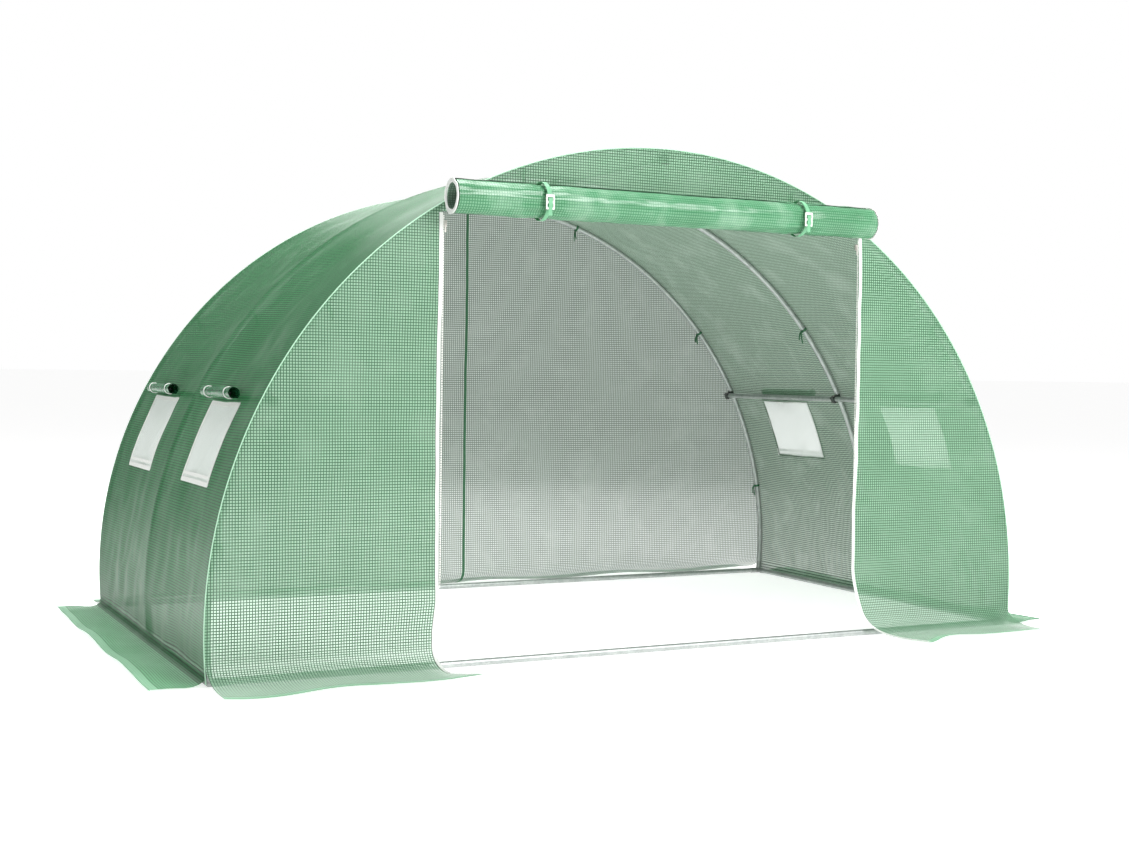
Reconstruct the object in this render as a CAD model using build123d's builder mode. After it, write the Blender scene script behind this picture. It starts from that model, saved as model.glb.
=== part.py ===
"""Walk-in tunnel greenhouse: a plug-together steel-tube frame under a green grid-fabric cover.

Millimetres. +X to the right, +Y from the front gable to the back gable, +Z up. The origin is on the
ground, at the middle of the plan. The tunnel's wall is part of a cylinder whose axis runs along Y
at a height of ARCH_CENTRE_Z, so most pieces are placed by an angle round that axis: 0 degrees is
level on the right, 90 is the ridge and 180 is level on the left.
"""

import math
import os

from build123d import *

os.makedirs("parts", exist_ok=True)

# Overall
HEIGHT = 2000.0  # ground to the top of the cover
DEPTH = 2000.0  # front face to back face
ARCH_CENTRE_Z = 180.0  # height of the tunnel wall's axis
SKIRT_WIDTH = 200.0  # flap of cover that lies on the ground outside
COVER_T = 1.5  # cover fabric with its hems
COVER_PLAY = 2.5  # room between the frame tubes and the cover

# Frame tubes
TUBE_D = 25.0
TUBE_WALL = 1.0
SPIGOT_LENGTH = 40.0  # swaged end that plugs into the next tube
SPIGOT_PLAY = 0.2
JOINT_PLAY = 0.4  # between the ends of plugged tubes
SWAGE_STEP = 3.0  # length over which a tube narrows to its spigot
CROWN_HALF_ANGLE = 38.0  # from the ridge to the joint with a leg
FRONT_TUBES = 4  # lengths in each gable's ground bar

# Fittings at the ground
HUB_WALL = 1.9  # ball at a fitting's centre, outside the tube's size
SOCKET_WALL = 1.4
LEG_SOCKET_WALL = 1.0
SOCKET_PLAY = 0.3
SOCKET_LENGTH = 50.0
SOCKET_SEAT = 18.0  # from a fitting's centre to the bottom of its sockets
SEAT_PLAY = 1.0

# Purlins and their crossing clips
PURLIN_HEIGHT = 1010.0  # height of the side purlins' crossings
PURLIN_DROP = 2.0  # wall of clip between a hoop and a purlin
PURLIN_OVERHANG = 10.0  # past the outer hoops' centres
PURLIN_JOINT_Y = 60.0  # joint of the two purlin lengths, just behind the middle hoop
CLIP_LENGTH = 32.0  # along the hoop
CLIP_DEPTH = 28.0  # along the purlin
CLIP_WALL = 3.0
CLIP_GRIP = 2.0  # how far a clip's jaws reach past a hoop's centre
CLIP_PLAY = 0.2
BOLT_D = 5.0
BOLT_PLAY = 0.1
HEX_RADIUS = 4.6
HEAD_T = 3.5
NUT_T = 4.0
BOLT_END = 1.5  # thread past the nut

# Cover ties
TIE_T = 1.2
TIE_PLAY = 0.4
TIE_WIDTH = 12.0
TIE_ANGLES = (10.0, 40.0, 70.0, 110.0, 140.0, 170.0)

# Cover panels
SIDE_TOP_ANGLE = 45.0  # seam between a side wall and the roof
WINDOW_WIDTH = 400.0
WINDOW_HEIGHT = 310.0  # along the curved wall
WINDOW_TOP_Z = 980.0

# Door
DOOR_HALF = 950.0
HEADER_Z = 1700.0  # lower edge of the fixed panel over the door
DOOR_ROLL_R = 70.0
DOOR_ROLL_WALL = 14.0
DOOR_ROLL_Z = 1750.0
DOOR_ROLL_GAP = 10.0  # between the roll and the front face
DOOR_SIDE_GAP = 2.0  # between the roll's ends and the zips
EDGE_WIDTH = 8.0  # bound edge of the rolled curtain
CURTAIN_T = 1.2
CURTAIN_DROP = 70.0  # piece of curtain between the header and the roll
CURTAIN_INSET = 25.0
ROLL_CLEAR = 0.8  # between the roll and what goes round it

# Door straps
STRAP_X = 580.0
STRAP_W = 25.0
STRAP_T = 1.5
STRAP_CLEAR = 2.3  # between the roll and an upper strap
STRAP_OVER_ANGLE = 120.0  # how far an upper strap follows the roll, from its front
STRAP_SEAM_GAP = 2.5  # between a strap's end and the header, so that it can swing
LOOP_FRONT_ANGLE = 18.0  # below level, where a lower strap ends at the front
LOOP_BACK_ANGLE = 150.0
BUCKLE_W = 36.0
BUCKLE_H = 56.0
BUCKLE_T = 8.0
BUCKLE_RISE = 20.0  # of the buckle above the roll's centre

# Zips
ZIP_TAPE = 24.0
ZIP_OVERLAP = 10.0  # tape sewn onto the front panel
ZIP_TAPE_T = 1.0
TEETH_W = 4.0
TEETH_T = 2.4
ZIP_FOOT_Z = 4.0
SLIDER_W = 12.0
SLIDER_H = 24.0
SLIDER_PLATE_T = 2.2
SLIDER_CLEAR = 0.8
SLIDER_TOP_Z = 1668.0
PULL_LENGTH = 34.0
PULL_T = 1.6

# Window flaps
FLAP_R = 25.0
FLAP_GAP = 3.0
FLAP_OVERHANG = 15.0  # roll's length past the window, each end
FLAP_LOOP_Y = 150.0  # elastic loops, each side of the window's middle
FLAP_LOOP_W = 6.0
FLAP_LOOP_T = 1.6
FLAP_LOOP_CLEAR = 0.4
FLAP_SETBACK = 1.0  # degrees from the window's top edge up to the roll's centre

# Worked out from the sizes above
cover_r = HEIGHT - ARCH_CENTRE_Z
lining_r = cover_r - COVER_T
tube_r = TUBE_D / 2
bore_r = tube_r - TUBE_WALL
spigot_r = bore_r - SPIGOT_PLAY
hoop_r = lining_r - COVER_PLAY - tube_r
gable_y = DEPTH / 2
cover_y = gable_y - COVER_T
hoop_y = cover_y - COVER_PLAY - tube_r
socket_r = tube_r + SOCKET_PLAY
fitting_r = socket_r + HUB_WALL
foot_angle = math.degrees(math.asin((fitting_r - ARCH_CENTRE_Z) / hoop_r))
foot_x = hoop_r * math.cos(math.radians(foot_angle))
ground_angle = math.degrees(math.asin(-ARCH_CENTRE_Z / cover_r))
ground_x = cover_r * math.cos(math.radians(ground_angle))
purlin_r = hoop_r - TUBE_D - PURLIN_DROP
purlin_angle = math.degrees(math.asin((PURLIN_HEIGHT - ARCH_CENTRE_Z) / hoop_r))
purlin_angles = (purlin_angle, 90.0, 180.0 - purlin_angle)
seat = SOCKET_SEAT + SEAT_PLAY
window_top_angle = math.degrees(math.asin((WINDOW_TOP_Z - ARCH_CENTRE_Z) / cover_r))
window_low_angle = window_top_angle - math.degrees(WINDOW_HEIGHT / cover_r)
zip_middle_z = (ZIP_FOOT_Z + HEADER_Z) / 2
slider_middle_z = SLIDER_TOP_Z - SLIDER_H / 2
roll_y = -gable_y - DOOR_ROLL_GAP - DOOR_ROLL_R
roll_half = DOOR_HALF - DOOR_SIDE_GAP
strap_r = DOOR_ROLL_R + STRAP_CLEAR

WALL_AXIS = Axis((0, 0, ARCH_CENTRE_Z), (0, -1, 0))
FRONT_FACE = Plane(origin=(0, -gable_y, 0), x_dir=(1, 0, 0), z_dir=(0, -1, 0))
HOOPS = {"front": -hoop_y, "middle": 0.0, "back": hoop_y}
SIDES = {"left": -1, "right": 1}
BAYS = {"front": -1, "back": 1}


def save(name, piece):
    """Label a finished piece and write it as its own file."""
    piece.part.label = name
    export_step(piece.part, f"parts/{name}.step")


def wall_plane(angle, y=0.0):
    """Plane across the wall at an angle: its x points outwards and its y to the back."""
    a = math.radians(angle)
    return Plane(
        origin=(0, y, ARCH_CENTRE_Z),
        x_dir=(math.cos(a), 0, math.sin(a)),
        z_dir=(-math.sin(a), 0, math.cos(a)),
    )


def bent_bar(y, start, end, outer, inner=0.0, mode=Mode.ADD):
    """Round bar or tube that follows a hoop at depth y, from one angle to another."""
    with BuildSketch(wall_plane(start, y)) as section:
        with Locations((hoop_r, 0)):
            Circle(outer)
            if inner:
                Circle(inner, mode=Mode.SUBTRACT)
    revolve(section.sketch, axis=WALL_AXIS, revolution_arc=end - start, mode=mode)


def wall_sheet(start, end, low_y, high_y, mode=Mode.ADD):
    """Piece of the curved cover between two angles and two depths."""
    with BuildSketch(wall_plane(start)) as section:
        with Locations(((lining_r + cover_r) / 2, (low_y + high_y) / 2)):
            Rectangle(COVER_T, high_y - low_y)
    revolve(section.sketch, axis=WALL_AXIS, revolution_arc=end - start, mode=mode)


def pipe(plane, length, outer, inner=0.0, mode=Mode.ADD):
    """Round bar or tube along a plane's normal, from its origin."""
    with BuildSketch(plane) as section:
        Circle(outer)
        if inner:
            Circle(inner, mode=Mode.SUBTRACT)
    extrude(section.sketch, amount=length, mode=mode)


def straight_tube(plane, length, spigot):
    """Tube along a plane's normal, with a swaged spigot past its far end when asked."""
    pipe(plane, length, tube_r, bore_r)
    if spigot:
        pipe(plane.offset(length - SWAGE_STEP), SWAGE_STEP, tube_r, spigot_r - TUBE_WALL)
        pipe(plane.offset(length), SPIGOT_LENGTH, spigot_r, spigot_r - TUBE_WALL)


def turn(length, radius=hoop_r):
    """Angle that a length takes up on an arc, in degrees."""
    return math.degrees(length / radius)


# Hoops: two legs, and a crown whose swaged ends plug into them
crown_start = 90.0 - CROWN_HALF_ANGLE
crown_end = 90.0 + CROWN_HALF_ANGLE
for hoop, y in HOOPS.items():
    with BuildPart() as right_leg:
        bent_bar(y, foot_angle + turn(seat), crown_start, tube_r, bore_r)
    save(f"{hoop}_hoop_right_leg", right_leg)

    with BuildPart() as left_leg:
        bent_bar(y, crown_end, 180 - foot_angle - turn(seat), tube_r, bore_r)
    save(f"{hoop}_hoop_left_leg", left_leg)

    with BuildPart() as crown:
        step = turn(SWAGE_STEP)
        spigot = turn(SPIGOT_LENGTH)
        bent_bar(y, crown_start, crown_end, tube_r, bore_r)
        bent_bar(y, crown_start, crown_start + step, tube_r, spigot_r - TUBE_WALL)
        bent_bar(y, crown_end - step, crown_end, tube_r, spigot_r - TUBE_WALL)
        bent_bar(y, crown_start - spigot, crown_start, spigot_r, spigot_r - TUBE_WALL)
        bent_bar(y, crown_end, crown_end + spigot, spigot_r, spigot_r - TUBE_WALL)
    save(f"{hoop}_hoop_crown", crown)

# Ground bars of the two gables, in several lengths
bar_length = 2 * (foot_x - seat) / FRONT_TUBES
for bay, sign in BAYS.items():
    with BuildPart() as gable_bar:
        for i in range(FRONT_TUBES):
            start = Plane(
                origin=(-foot_x + seat + i * bar_length, sign * hoop_y, fitting_r),
                z_dir=(1, 0, 0),
            )
            straight_tube(start, bar_length - JOINT_PLAY, spigot=i < FRONT_TUBES - 1)
    save(f"{bay}_ground_tubes", gable_bar)

# Ground tubes of the two sides, between the corner fittings and the middle tees
for side, sign in SIDES.items():
    with BuildPart() as side_bar:
        for low_y in (-hoop_y + seat, seat):
            start = Plane(origin=(sign * foot_x, low_y, fitting_r), z_dir=(0, 1, 0))
            straight_tube(start, hoop_y - 2 * seat, spigot=False)
    save(f"{side}_ground_tubes", side_bar)


def purlin(angle):
    """Two lengths of tube inside the hoops, drilled across for the clip bolts."""
    a = math.radians(angle)
    x = purlin_r * math.cos(a)
    z = ARCH_CENTRE_Z + purlin_r * math.sin(a)
    end_y = hoop_y + PURLIN_OVERHANG
    front_end = Plane(origin=(x, -end_y, z), z_dir=(0, 1, 0))
    back_end = Plane(origin=(x, end_y, z), z_dir=(0, -1, 0))
    straight_tube(front_end, end_y + PURLIN_JOINT_Y, spigot=False)
    straight_tube(back_end, end_y - PURLIN_JOINT_Y - JOINT_PLAY, spigot=True)
    for y in HOOPS.values():
        with BuildSketch(wall_plane(angle, y)) as bolt_hole:
            with Locations((purlin_r, 0)):
                Circle(BOLT_D / 2 + BOLT_PLAY)
        extrude(bolt_hole.sketch, amount=TUBE_D, both=True, mode=Mode.SUBTRACT)


with BuildPart() as side_purlins:
    purlin(purlin_angles[0])
    purlin(purlin_angles[2])
save("side_purlin_tubes", side_purlins)

with BuildPart() as ridge:
    purlin(purlin_angles[1])
save("ridge_tubes", ridge)


def crossing_clip(angle, y):
    """Clip that snaps on a hoop from inside and holds a purlin in a closed bore."""
    low = purlin_r - tube_r - CLIP_WALL
    high = hoop_r + CLIP_GRIP
    with BuildPart() as clip:
        with BuildSketch(wall_plane(angle, y)):
            with Locations(((low + high) / 2, 0)):
                Rectangle(high - low, CLIP_DEPTH)
        extrude(amount=CLIP_LENGTH / 2, both=True)
        a = math.radians(angle)
        bore_centre = (purlin_r * math.cos(a), y, ARCH_CENTRE_Z + purlin_r * math.sin(a))
        with BuildSketch(Plane(origin=bore_centre, z_dir=(0, 1, 0))):
            Circle(tube_r + CLIP_PLAY)
        extrude(amount=CLIP_LENGTH, both=True, mode=Mode.SUBTRACT)
        reach = turn(CLIP_LENGTH)
        bent_bar(y, angle - reach, angle + reach, tube_r + CLIP_PLAY, mode=Mode.SUBTRACT)
        with BuildSketch(wall_plane(angle, y)):
            with Locations((purlin_r, 0)):
                Circle(BOLT_D / 2 + BOLT_PLAY)
        extrude(amount=CLIP_LENGTH, both=True, mode=Mode.SUBTRACT)
    return clip.part


crossings = [(angle, y) for angle in purlin_angles for y in HOOPS.values()]
clip_solids = [crossing_clip(angle, y) for angle, y in crossings]
with BuildPart() as clips:
    add(clip_solids)
save("purlin_clips", clips)

with BuildPart() as bolts:
    for angle, y in crossings:
        tip = wall_plane(angle, y).offset(-CLIP_LENGTH / 2 - NUT_T - BOLT_END)
        with BuildSketch(tip):
            with Locations((purlin_r, 0)):
                Circle(BOLT_D / 2)
        extrude(amount=CLIP_LENGTH + NUT_T + BOLT_END)
        with BuildSketch(wall_plane(angle, y).offset(CLIP_LENGTH / 2)):
            with Locations((purlin_r, 0)):
                RegularPolygon(HEX_RADIUS, 6)
        extrude(amount=HEAD_T)
save("clip_bolts", bolts)

with BuildPart() as nuts:
    for angle, y in crossings:
        with BuildSketch(wall_plane(angle, y).offset(-CLIP_LENGTH / 2 - NUT_T)):
            with Locations((purlin_r, 0)):
                RegularPolygon(HEX_RADIUS, 6)
                Circle(BOLT_D / 2 + BOLT_PLAY, mode=Mode.SUBTRACT)
        extrude(amount=NUT_T)
save("clip_nuts", nuts)


def ground_fitting(side_sign, y, directions):
    """Steel fitting with a socket up the hoop and straight sockets in the directions given."""
    centre = Vector(side_sign * foot_x, y, fitting_r)
    low = foot_angle + turn(SOCKET_SEAT)
    high = foot_angle + turn(SOCKET_LENGTH)
    root = foot_angle
    if side_sign < 0:
        low, high, root = 180 - high, 180 - low, 180 - foot_angle
    with BuildPart() as fitting:
        with Locations(centre):
            Sphere(fitting_r)
        if y:
            for direction in directions:
                arm = Plane(origin=centre, z_dir=direction)
                pipe(arm, SOCKET_LENGTH, socket_r + SOCKET_WALL)
        else:
            back_mouth = centre + Vector(0, SOCKET_LENGTH, 0)
            through = Plane(origin=back_mouth, z_dir=(0, -1, 0))
            pipe(through, 2 * SOCKET_LENGTH, socket_r + SOCKET_WALL)
        bent_bar(y, min(low, root), max(high, root), socket_r + LEG_SOCKET_WALL)
        bent_bar(y, low, high, socket_r, mode=Mode.SUBTRACT)
        for direction in directions:
            bore = Plane(origin=centre, z_dir=direction).offset(SOCKET_SEAT)
            pipe(bore, SOCKET_LENGTH, socket_r, mode=Mode.SUBTRACT)
    return fitting.part


corner_solids = [
    ground_fitting(sx, sy * hoop_y, [(-sx, 0, 0), (0, -sy, 0)])
    for sx in SIDES.values()
    for sy in BAYS.values()
]
with BuildPart() as corners:
    add(corner_solids)
save("corner_fittings", corners)

tee_solids = [ground_fitting(sx, 0.0, [(0, 1, 0), (0, -1, 0)]) for sx in SIDES.values()]
with BuildPart() as tees:
    add(tee_solids)
save("foot_tees", tees)

# Ties: narrow tapes round the hoops that hold the cover to the frame
with BuildPart() as ties:
    tie_inner = tube_r + TIE_PLAY
    for y in HOOPS.values():
        for angle in TIE_ANGLES:
            half = turn(TIE_WIDTH) / 2
            bent_bar(y, angle - half, angle + half, tie_inner + TIE_T, tie_inner)
save("cover_ties", ties)

# Curved cover: two side walls and a roof on each bay, with a window in each side wall
for bay, bay_sign in BAYS.items():
    low_y, high_y = (-cover_y, 0.0) if bay_sign < 0 else (0.0, cover_y)
    window_y = bay_sign * gable_y / 2
    window_low_y = window_y - WINDOW_WIDTH / 2
    window_high_y = window_y + WINDOW_WIDTH / 2

    with BuildPart() as roof:
        wall_sheet(SIDE_TOP_ANGLE, 180 - SIDE_TOP_ANGLE, low_y, high_y)
    save(f"{bay}_roof", roof)

    for side, side_sign in SIDES.items():
        span = (ground_angle, SIDE_TOP_ANGLE)
        window = (window_low_angle, window_top_angle)
        flap_angle = window_top_angle + FLAP_SETBACK
        if side_sign < 0:
            span = (180 - SIDE_TOP_ANGLE, 180 - ground_angle)
            window = (180 - window_top_angle, 180 - window_low_angle)
            flap_angle = 180 - flap_angle

        with BuildPart() as side_wall:
            wall_sheet(*span, low_y, high_y)
            wall_sheet(*window, window_low_y, window_high_y, mode=Mode.SUBTRACT)
        save(f"{bay}_{side}_wall", side_wall)

        with BuildPart() as screen:
            wall_sheet(*window, window_low_y, window_high_y)
        save(f"{bay}_{side}_window_screen", screen)

        a = math.radians(flap_angle)
        flap_r = cover_r + FLAP_GAP + FLAP_R
        flap_x = flap_r * math.cos(a)
        flap_z = ARCH_CENTRE_Z + flap_r * math.sin(a)
        flap_plane = Plane(origin=(flap_x, window_y, flap_z), z_dir=(0, 1, 0))
        with BuildPart() as flap:
            with BuildSketch(flap_plane):
                Circle(FLAP_R)
            extrude(amount=WINDOW_WIDTH / 2 + FLAP_OVERHANG, both=True)
        save(f"{bay}_{side}_window_flap", flap)

        with BuildPart() as loops:
            for offset_y in (-FLAP_LOOP_Y, FLAP_LOOP_Y):
                with BuildSketch(flap_plane.offset(offset_y)):
                    Circle(FLAP_R + FLAP_LOOP_CLEAR + FLAP_LOOP_T)
                    Circle(FLAP_R + FLAP_LOOP_CLEAR, mode=Mode.SUBTRACT)
                extrude(amount=FLAP_LOOP_W / 2, both=True)
        save(f"{bay}_{side}_flap_loops", loops)

# Gable panels: flat pieces with the wall's round outline
with BuildPart() as back_panel:
    with BuildSketch(FRONT_FACE.offset(-DEPTH)):
        with Locations((0, ARCH_CENTRE_Z)):
            Circle(cover_r)
        with Locations((0, HEIGHT / 2)):
            Rectangle(2 * cover_r, HEIGHT, mode=Mode.INTERSECT)
    extrude(amount=COVER_T)
save("back_panel", back_panel)

with BuildPart() as header:
    with BuildSketch(FRONT_FACE):
        with Locations((0, ARCH_CENTRE_Z)):
            Circle(cover_r)
        with Locations((0, (HEADER_Z + HEIGHT) / 2)):
            Rectangle(2 * DOOR_HALF, HEIGHT - HEADER_Z, mode=Mode.INTERSECT)
    extrude(amount=-COVER_T)
save("door_header", header)

for side, sign in SIDES.items():
    with BuildPart() as front_panel:
        with BuildSketch(FRONT_FACE):
            with Locations((0, ARCH_CENTRE_Z)):
                Circle(cover_r)
            with Locations((sign * (DOOR_HALF + cover_r) / 2, HEIGHT / 2)):
                Rectangle(cover_r - DOOR_HALF, HEIGHT, mode=Mode.INTERSECT)
        extrude(amount=-COVER_T)
    save(f"front_panel_{side}", front_panel)

    with BuildPart() as front_skirt:
        with BuildSketch(Plane.XY):
            with Locations((sign * (DOOR_HALF + ground_x) / 2, -gable_y - SKIRT_WIDTH / 2)):
                Rectangle(ground_x - DOOR_HALF - DOOR_SIDE_GAP * 2, SKIRT_WIDTH)
        extrude(amount=COVER_T)
    save(f"front_skirt_{side}", front_skirt)

    with BuildPart() as side_skirt:
        with BuildSketch(FRONT_FACE):
            with Locations((sign * (ground_x + SKIRT_WIDTH / 2), COVER_T / 2)):
                Rectangle(SKIRT_WIDTH, COVER_T)
            with Locations((0, ARCH_CENTRE_Z)):
                Circle(cover_r, mode=Mode.SUBTRACT)
        extrude(amount=-DEPTH)
    save(f"side_skirt_{side}", side_skirt)

with BuildPart() as back_skirt:
    with BuildSketch(Plane.XY):
        with Locations((0, gable_y + SKIRT_WIDTH / 2)):
            Rectangle(2 * ground_x, SKIRT_WIDTH)
    extrude(amount=COVER_T)
save("back_skirt", back_skirt)

# Zips: the fixed halves on the front panels' edges, and the sliders that run on them
with BuildPart() as zips:
    for sign in SIDES.values():
        teeth_x = sign * (DOOR_HALF + ZIP_OVERLAP - ZIP_TAPE)
        with BuildSketch(FRONT_FACE):
            with Locations((sign * (DOOR_HALF + ZIP_OVERLAP - ZIP_TAPE / 2), zip_middle_z)):
                Rectangle(ZIP_TAPE, HEADER_Z - ZIP_FOOT_Z)
        extrude(amount=ZIP_TAPE_T)
        with BuildSketch(FRONT_FACE.offset(ZIP_TAPE_T / 2 - TEETH_T / 2)):
            with Locations((teeth_x, zip_middle_z)):
                Rectangle(TEETH_W, HEADER_Z - ZIP_FOOT_Z)
        extrude(amount=TEETH_T)
save("door_zips", zips)

for side, sign in SIDES.items():
    teeth_x = sign * (DOOR_HALF + ZIP_OVERLAP - ZIP_TAPE)
    slot = TEETH_T + 2 * SLIDER_CLEAR
    slider_t = slot + 2 * SLIDER_PLATE_T
    mid_plane = FRONT_FACE.offset(ZIP_TAPE_T / 2)
    bridge = PULL_T + SLIDER_CLEAR
    with BuildPart() as slider:
        with BuildSketch(mid_plane.offset(-slider_t / 2)):
            with Locations((teeth_x - sign * SLIDER_CLEAR, slider_middle_z)):
                Rectangle(SLIDER_W, SLIDER_H)
        extrude(amount=slider_t)
        with BuildSketch(mid_plane.offset(-slot / 2)):
            with Locations((teeth_x + sign * (SLIDER_W / 2 - TEETH_W / 2), slider_middle_z)):
                Rectangle(SLIDER_W, SLIDER_H)
        extrude(amount=slot, mode=Mode.SUBTRACT)
        with BuildSketch(mid_plane.offset(slider_t / 2)):
            with Locations((teeth_x, slider_middle_z)):
                Rectangle(TEETH_W, TEETH_W)
        extrude(amount=bridge - PULL_T)
        with BuildSketch(mid_plane.offset(slider_t / 2 + bridge - PULL_T)):
            with Locations((teeth_x, slider_middle_z + TEETH_W / 2 - PULL_LENGTH / 2)):
                Rectangle(SLIDER_W / 2, PULL_LENGTH)
        extrude(amount=PULL_T)
    save(f"zip_slider_{side}", slider)

# Rolled door curtain, with its bound edges showing at the two ends
ROLL_END = Plane(origin=(0, roll_y, DOOR_ROLL_Z), x_dir=(0, -1, 0), z_dir=(-1, 0, 0))
with BuildPart() as door_roll:
    with BuildSketch(ROLL_END):
        Circle(DOOR_ROLL_R)
        Circle(DOOR_ROLL_R - DOOR_ROLL_WALL, mode=Mode.SUBTRACT)
    extrude(amount=roll_half - EDGE_WIDTH, both=True)
save("door_roll", door_roll)

with BuildPart() as roll_edges:
    for start in (-roll_half, roll_half - EDGE_WIDTH):
        with BuildSketch(ROLL_END.offset(start)):
            Circle(DOOR_ROLL_R)
            Circle(DOOR_ROLL_R - DOOR_ROLL_WALL, mode=Mode.SUBTRACT)
        extrude(amount=EDGE_WIDTH)
save("door_roll_edges", roll_edges)

# Flat part of the curtain, which leaves the roll at its back
with BuildPart() as curtain:
    curtain_y = roll_y + DOOR_ROLL_R + ROLL_CLEAR + CURTAIN_T / 2
    with Locations((0, curtain_y, DOOR_ROLL_Z + CURTAIN_DROP / 2 - DOOR_ROLL_R / 2)):
        Box(2 * (DOOR_HALF - CURTAIN_INSET), CURTAIN_T, CURTAIN_DROP)
save("door_curtain", curtain)


def ring_sector(inner, thickness, start, end):
    """Sketch of part of a band round the roll, angles from its front over its top."""
    a0 = math.radians(start)
    a1 = math.radians(end)
    am = (a0 + a1) / 2
    outer = inner + thickness
    with BuildLine() as outline:
        inside = ThreePointArc(*[(inner * math.cos(a), inner * math.sin(a)) for a in (a0, am, a1)])
        outside = ThreePointArc(*[(outer * math.cos(a), outer * math.sin(a)) for a in (a0, am, a1)])
        Line(inside @ 0, outside @ 0)
        Line(inside @ 1, outside @ 1)
    make_face(outline.edges())


# Lower strap halves, which go under the roll and travel with it
with BuildPart() as strap_loops:
    for sign in SIDES.values():
        with BuildSketch(ROLL_END.offset(sign * STRAP_X)):
            ring_sector(DOOR_ROLL_R + ROLL_CLEAR, CURTAIN_T, -LOOP_BACK_ANGLE, -LOOP_FRONT_ANGLE)
        extrude(amount=STRAP_W / 2, both=True)
save("door_strap_loops", strap_loops)

# Upper strap halves, sewn to the header, and the buckles that close them
over = math.radians(STRAP_OVER_ANGLE)
leave = Vector(strap_r * math.cos(over), strap_r * math.sin(over))
to_header = DOOR_ROLL_R + DOOR_ROLL_GAP - STRAP_SEAM_GAP + leave.X
reach_to_header = to_header / math.sin(over)
for side, sign in SIDES.items():
    with BuildPart() as upper_strap:
        with BuildSketch(ROLL_END.offset(-sign * STRAP_X)):
            ring_sector(strap_r, STRAP_T, 0, STRAP_OVER_ANGLE)
            along = Vector(-math.sin(over), math.cos(over))
            out = Vector(math.cos(over), math.sin(over)) * STRAP_T
            far = leave + along * reach_to_header
            header_end = far + out + along * (STRAP_T * math.cos(over) / math.sin(over))
            Polygon(leave, leave + out, header_end, far, align=None)
        extrude(amount=STRAP_W / 2, both=True)
    save(f"door_strap_{side}", upper_strap)

    with BuildPart() as buckle:
        buckle_y = roll_y - strap_r - BUCKLE_T / 2
        buckle_z = DOOR_ROLL_Z + BUCKLE_RISE - BUCKLE_H / 2
        with Locations((sign * STRAP_X, buckle_y, buckle_z)):
            Box(BUCKLE_W, BUCKLE_T, BUCKLE_H)
        fillet(buckle.edges().filter_by(Axis.Y), radius=BUCKLE_W / 6)
        fillet(buckle.faces().sort_by(Axis.Y)[0].edges(), radius=BUCKLE_T / 4)
        with BuildSketch(ROLL_END.offset(-sign * STRAP_X)):
            Circle(strap_r + STRAP_T)
        extrude(amount=BUCKLE_W, both=True, mode=Mode.SUBTRACT)
    save(f"strap_buckle_{side}", buckle)
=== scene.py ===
# %% [markdown]
# # A tunnel greenhouse in grid film
#
# The real thing is a frame of galvanised tube that a cover of green film is pulled over. The film
# is polyethylene with a woven net of darker threads sealed inside, so it reads as small pale
# squares between dark lines. The frame's tubes come from the CAD model and only need a finish.
# Every soft piece is built here: the curved cover, the flat gable panels, the rolled door and
# windows, the straps and the ties.

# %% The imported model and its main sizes
import math
import random

import bmesh
import bpy
from mathutils import Matrix, Vector, noise


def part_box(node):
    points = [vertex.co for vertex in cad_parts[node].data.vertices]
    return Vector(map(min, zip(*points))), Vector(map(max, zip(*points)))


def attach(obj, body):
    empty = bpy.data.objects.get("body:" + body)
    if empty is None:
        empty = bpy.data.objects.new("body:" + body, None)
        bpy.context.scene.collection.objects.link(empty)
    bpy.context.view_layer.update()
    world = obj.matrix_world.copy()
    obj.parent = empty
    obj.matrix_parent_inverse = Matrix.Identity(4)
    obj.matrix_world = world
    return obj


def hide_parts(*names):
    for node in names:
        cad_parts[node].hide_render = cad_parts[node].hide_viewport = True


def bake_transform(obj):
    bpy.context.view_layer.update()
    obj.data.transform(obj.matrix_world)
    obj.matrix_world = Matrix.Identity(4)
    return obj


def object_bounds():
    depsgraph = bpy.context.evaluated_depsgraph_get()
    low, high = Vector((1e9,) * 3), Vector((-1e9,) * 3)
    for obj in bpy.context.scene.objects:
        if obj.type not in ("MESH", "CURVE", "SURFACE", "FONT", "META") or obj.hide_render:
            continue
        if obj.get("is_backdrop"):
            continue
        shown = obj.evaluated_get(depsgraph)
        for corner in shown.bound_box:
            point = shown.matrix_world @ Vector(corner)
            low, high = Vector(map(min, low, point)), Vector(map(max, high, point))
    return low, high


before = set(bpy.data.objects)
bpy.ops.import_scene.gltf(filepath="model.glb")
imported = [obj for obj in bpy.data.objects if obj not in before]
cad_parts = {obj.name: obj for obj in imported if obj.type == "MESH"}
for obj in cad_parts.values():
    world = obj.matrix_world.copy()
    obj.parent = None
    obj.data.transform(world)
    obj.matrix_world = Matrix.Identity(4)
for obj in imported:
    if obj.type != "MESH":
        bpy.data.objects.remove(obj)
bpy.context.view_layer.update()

wall_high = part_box("front_right_wall")[1]
roof_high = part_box("front_roof")[1]
R = wall_high.x  # outer radius of the round cover
ZC = roof_high.z - R  # height of the cover's axis
GABLE = -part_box("front_panel_left")[0].y  # distance of each gable from the middle
GROUND_X = math.sqrt(R * R - ZC * ZC)  # where the round wall meets the ground
SKIRT_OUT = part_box("side_skirt_right")[1].x
SKIRT_FRONT = -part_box("front_skirt_left")[0].y
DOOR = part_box("front_panel_right")[0].x  # half width of the doorway
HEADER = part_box("door_header")[0].z
HOOP_Y = (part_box("front_hoop_crown")[0].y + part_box("front_hoop_crown")[1].y) / 2
print("cover radius", round(R, 3), "axis height", round(ZC, 3), "door half width", round(DOOR, 3))

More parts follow.
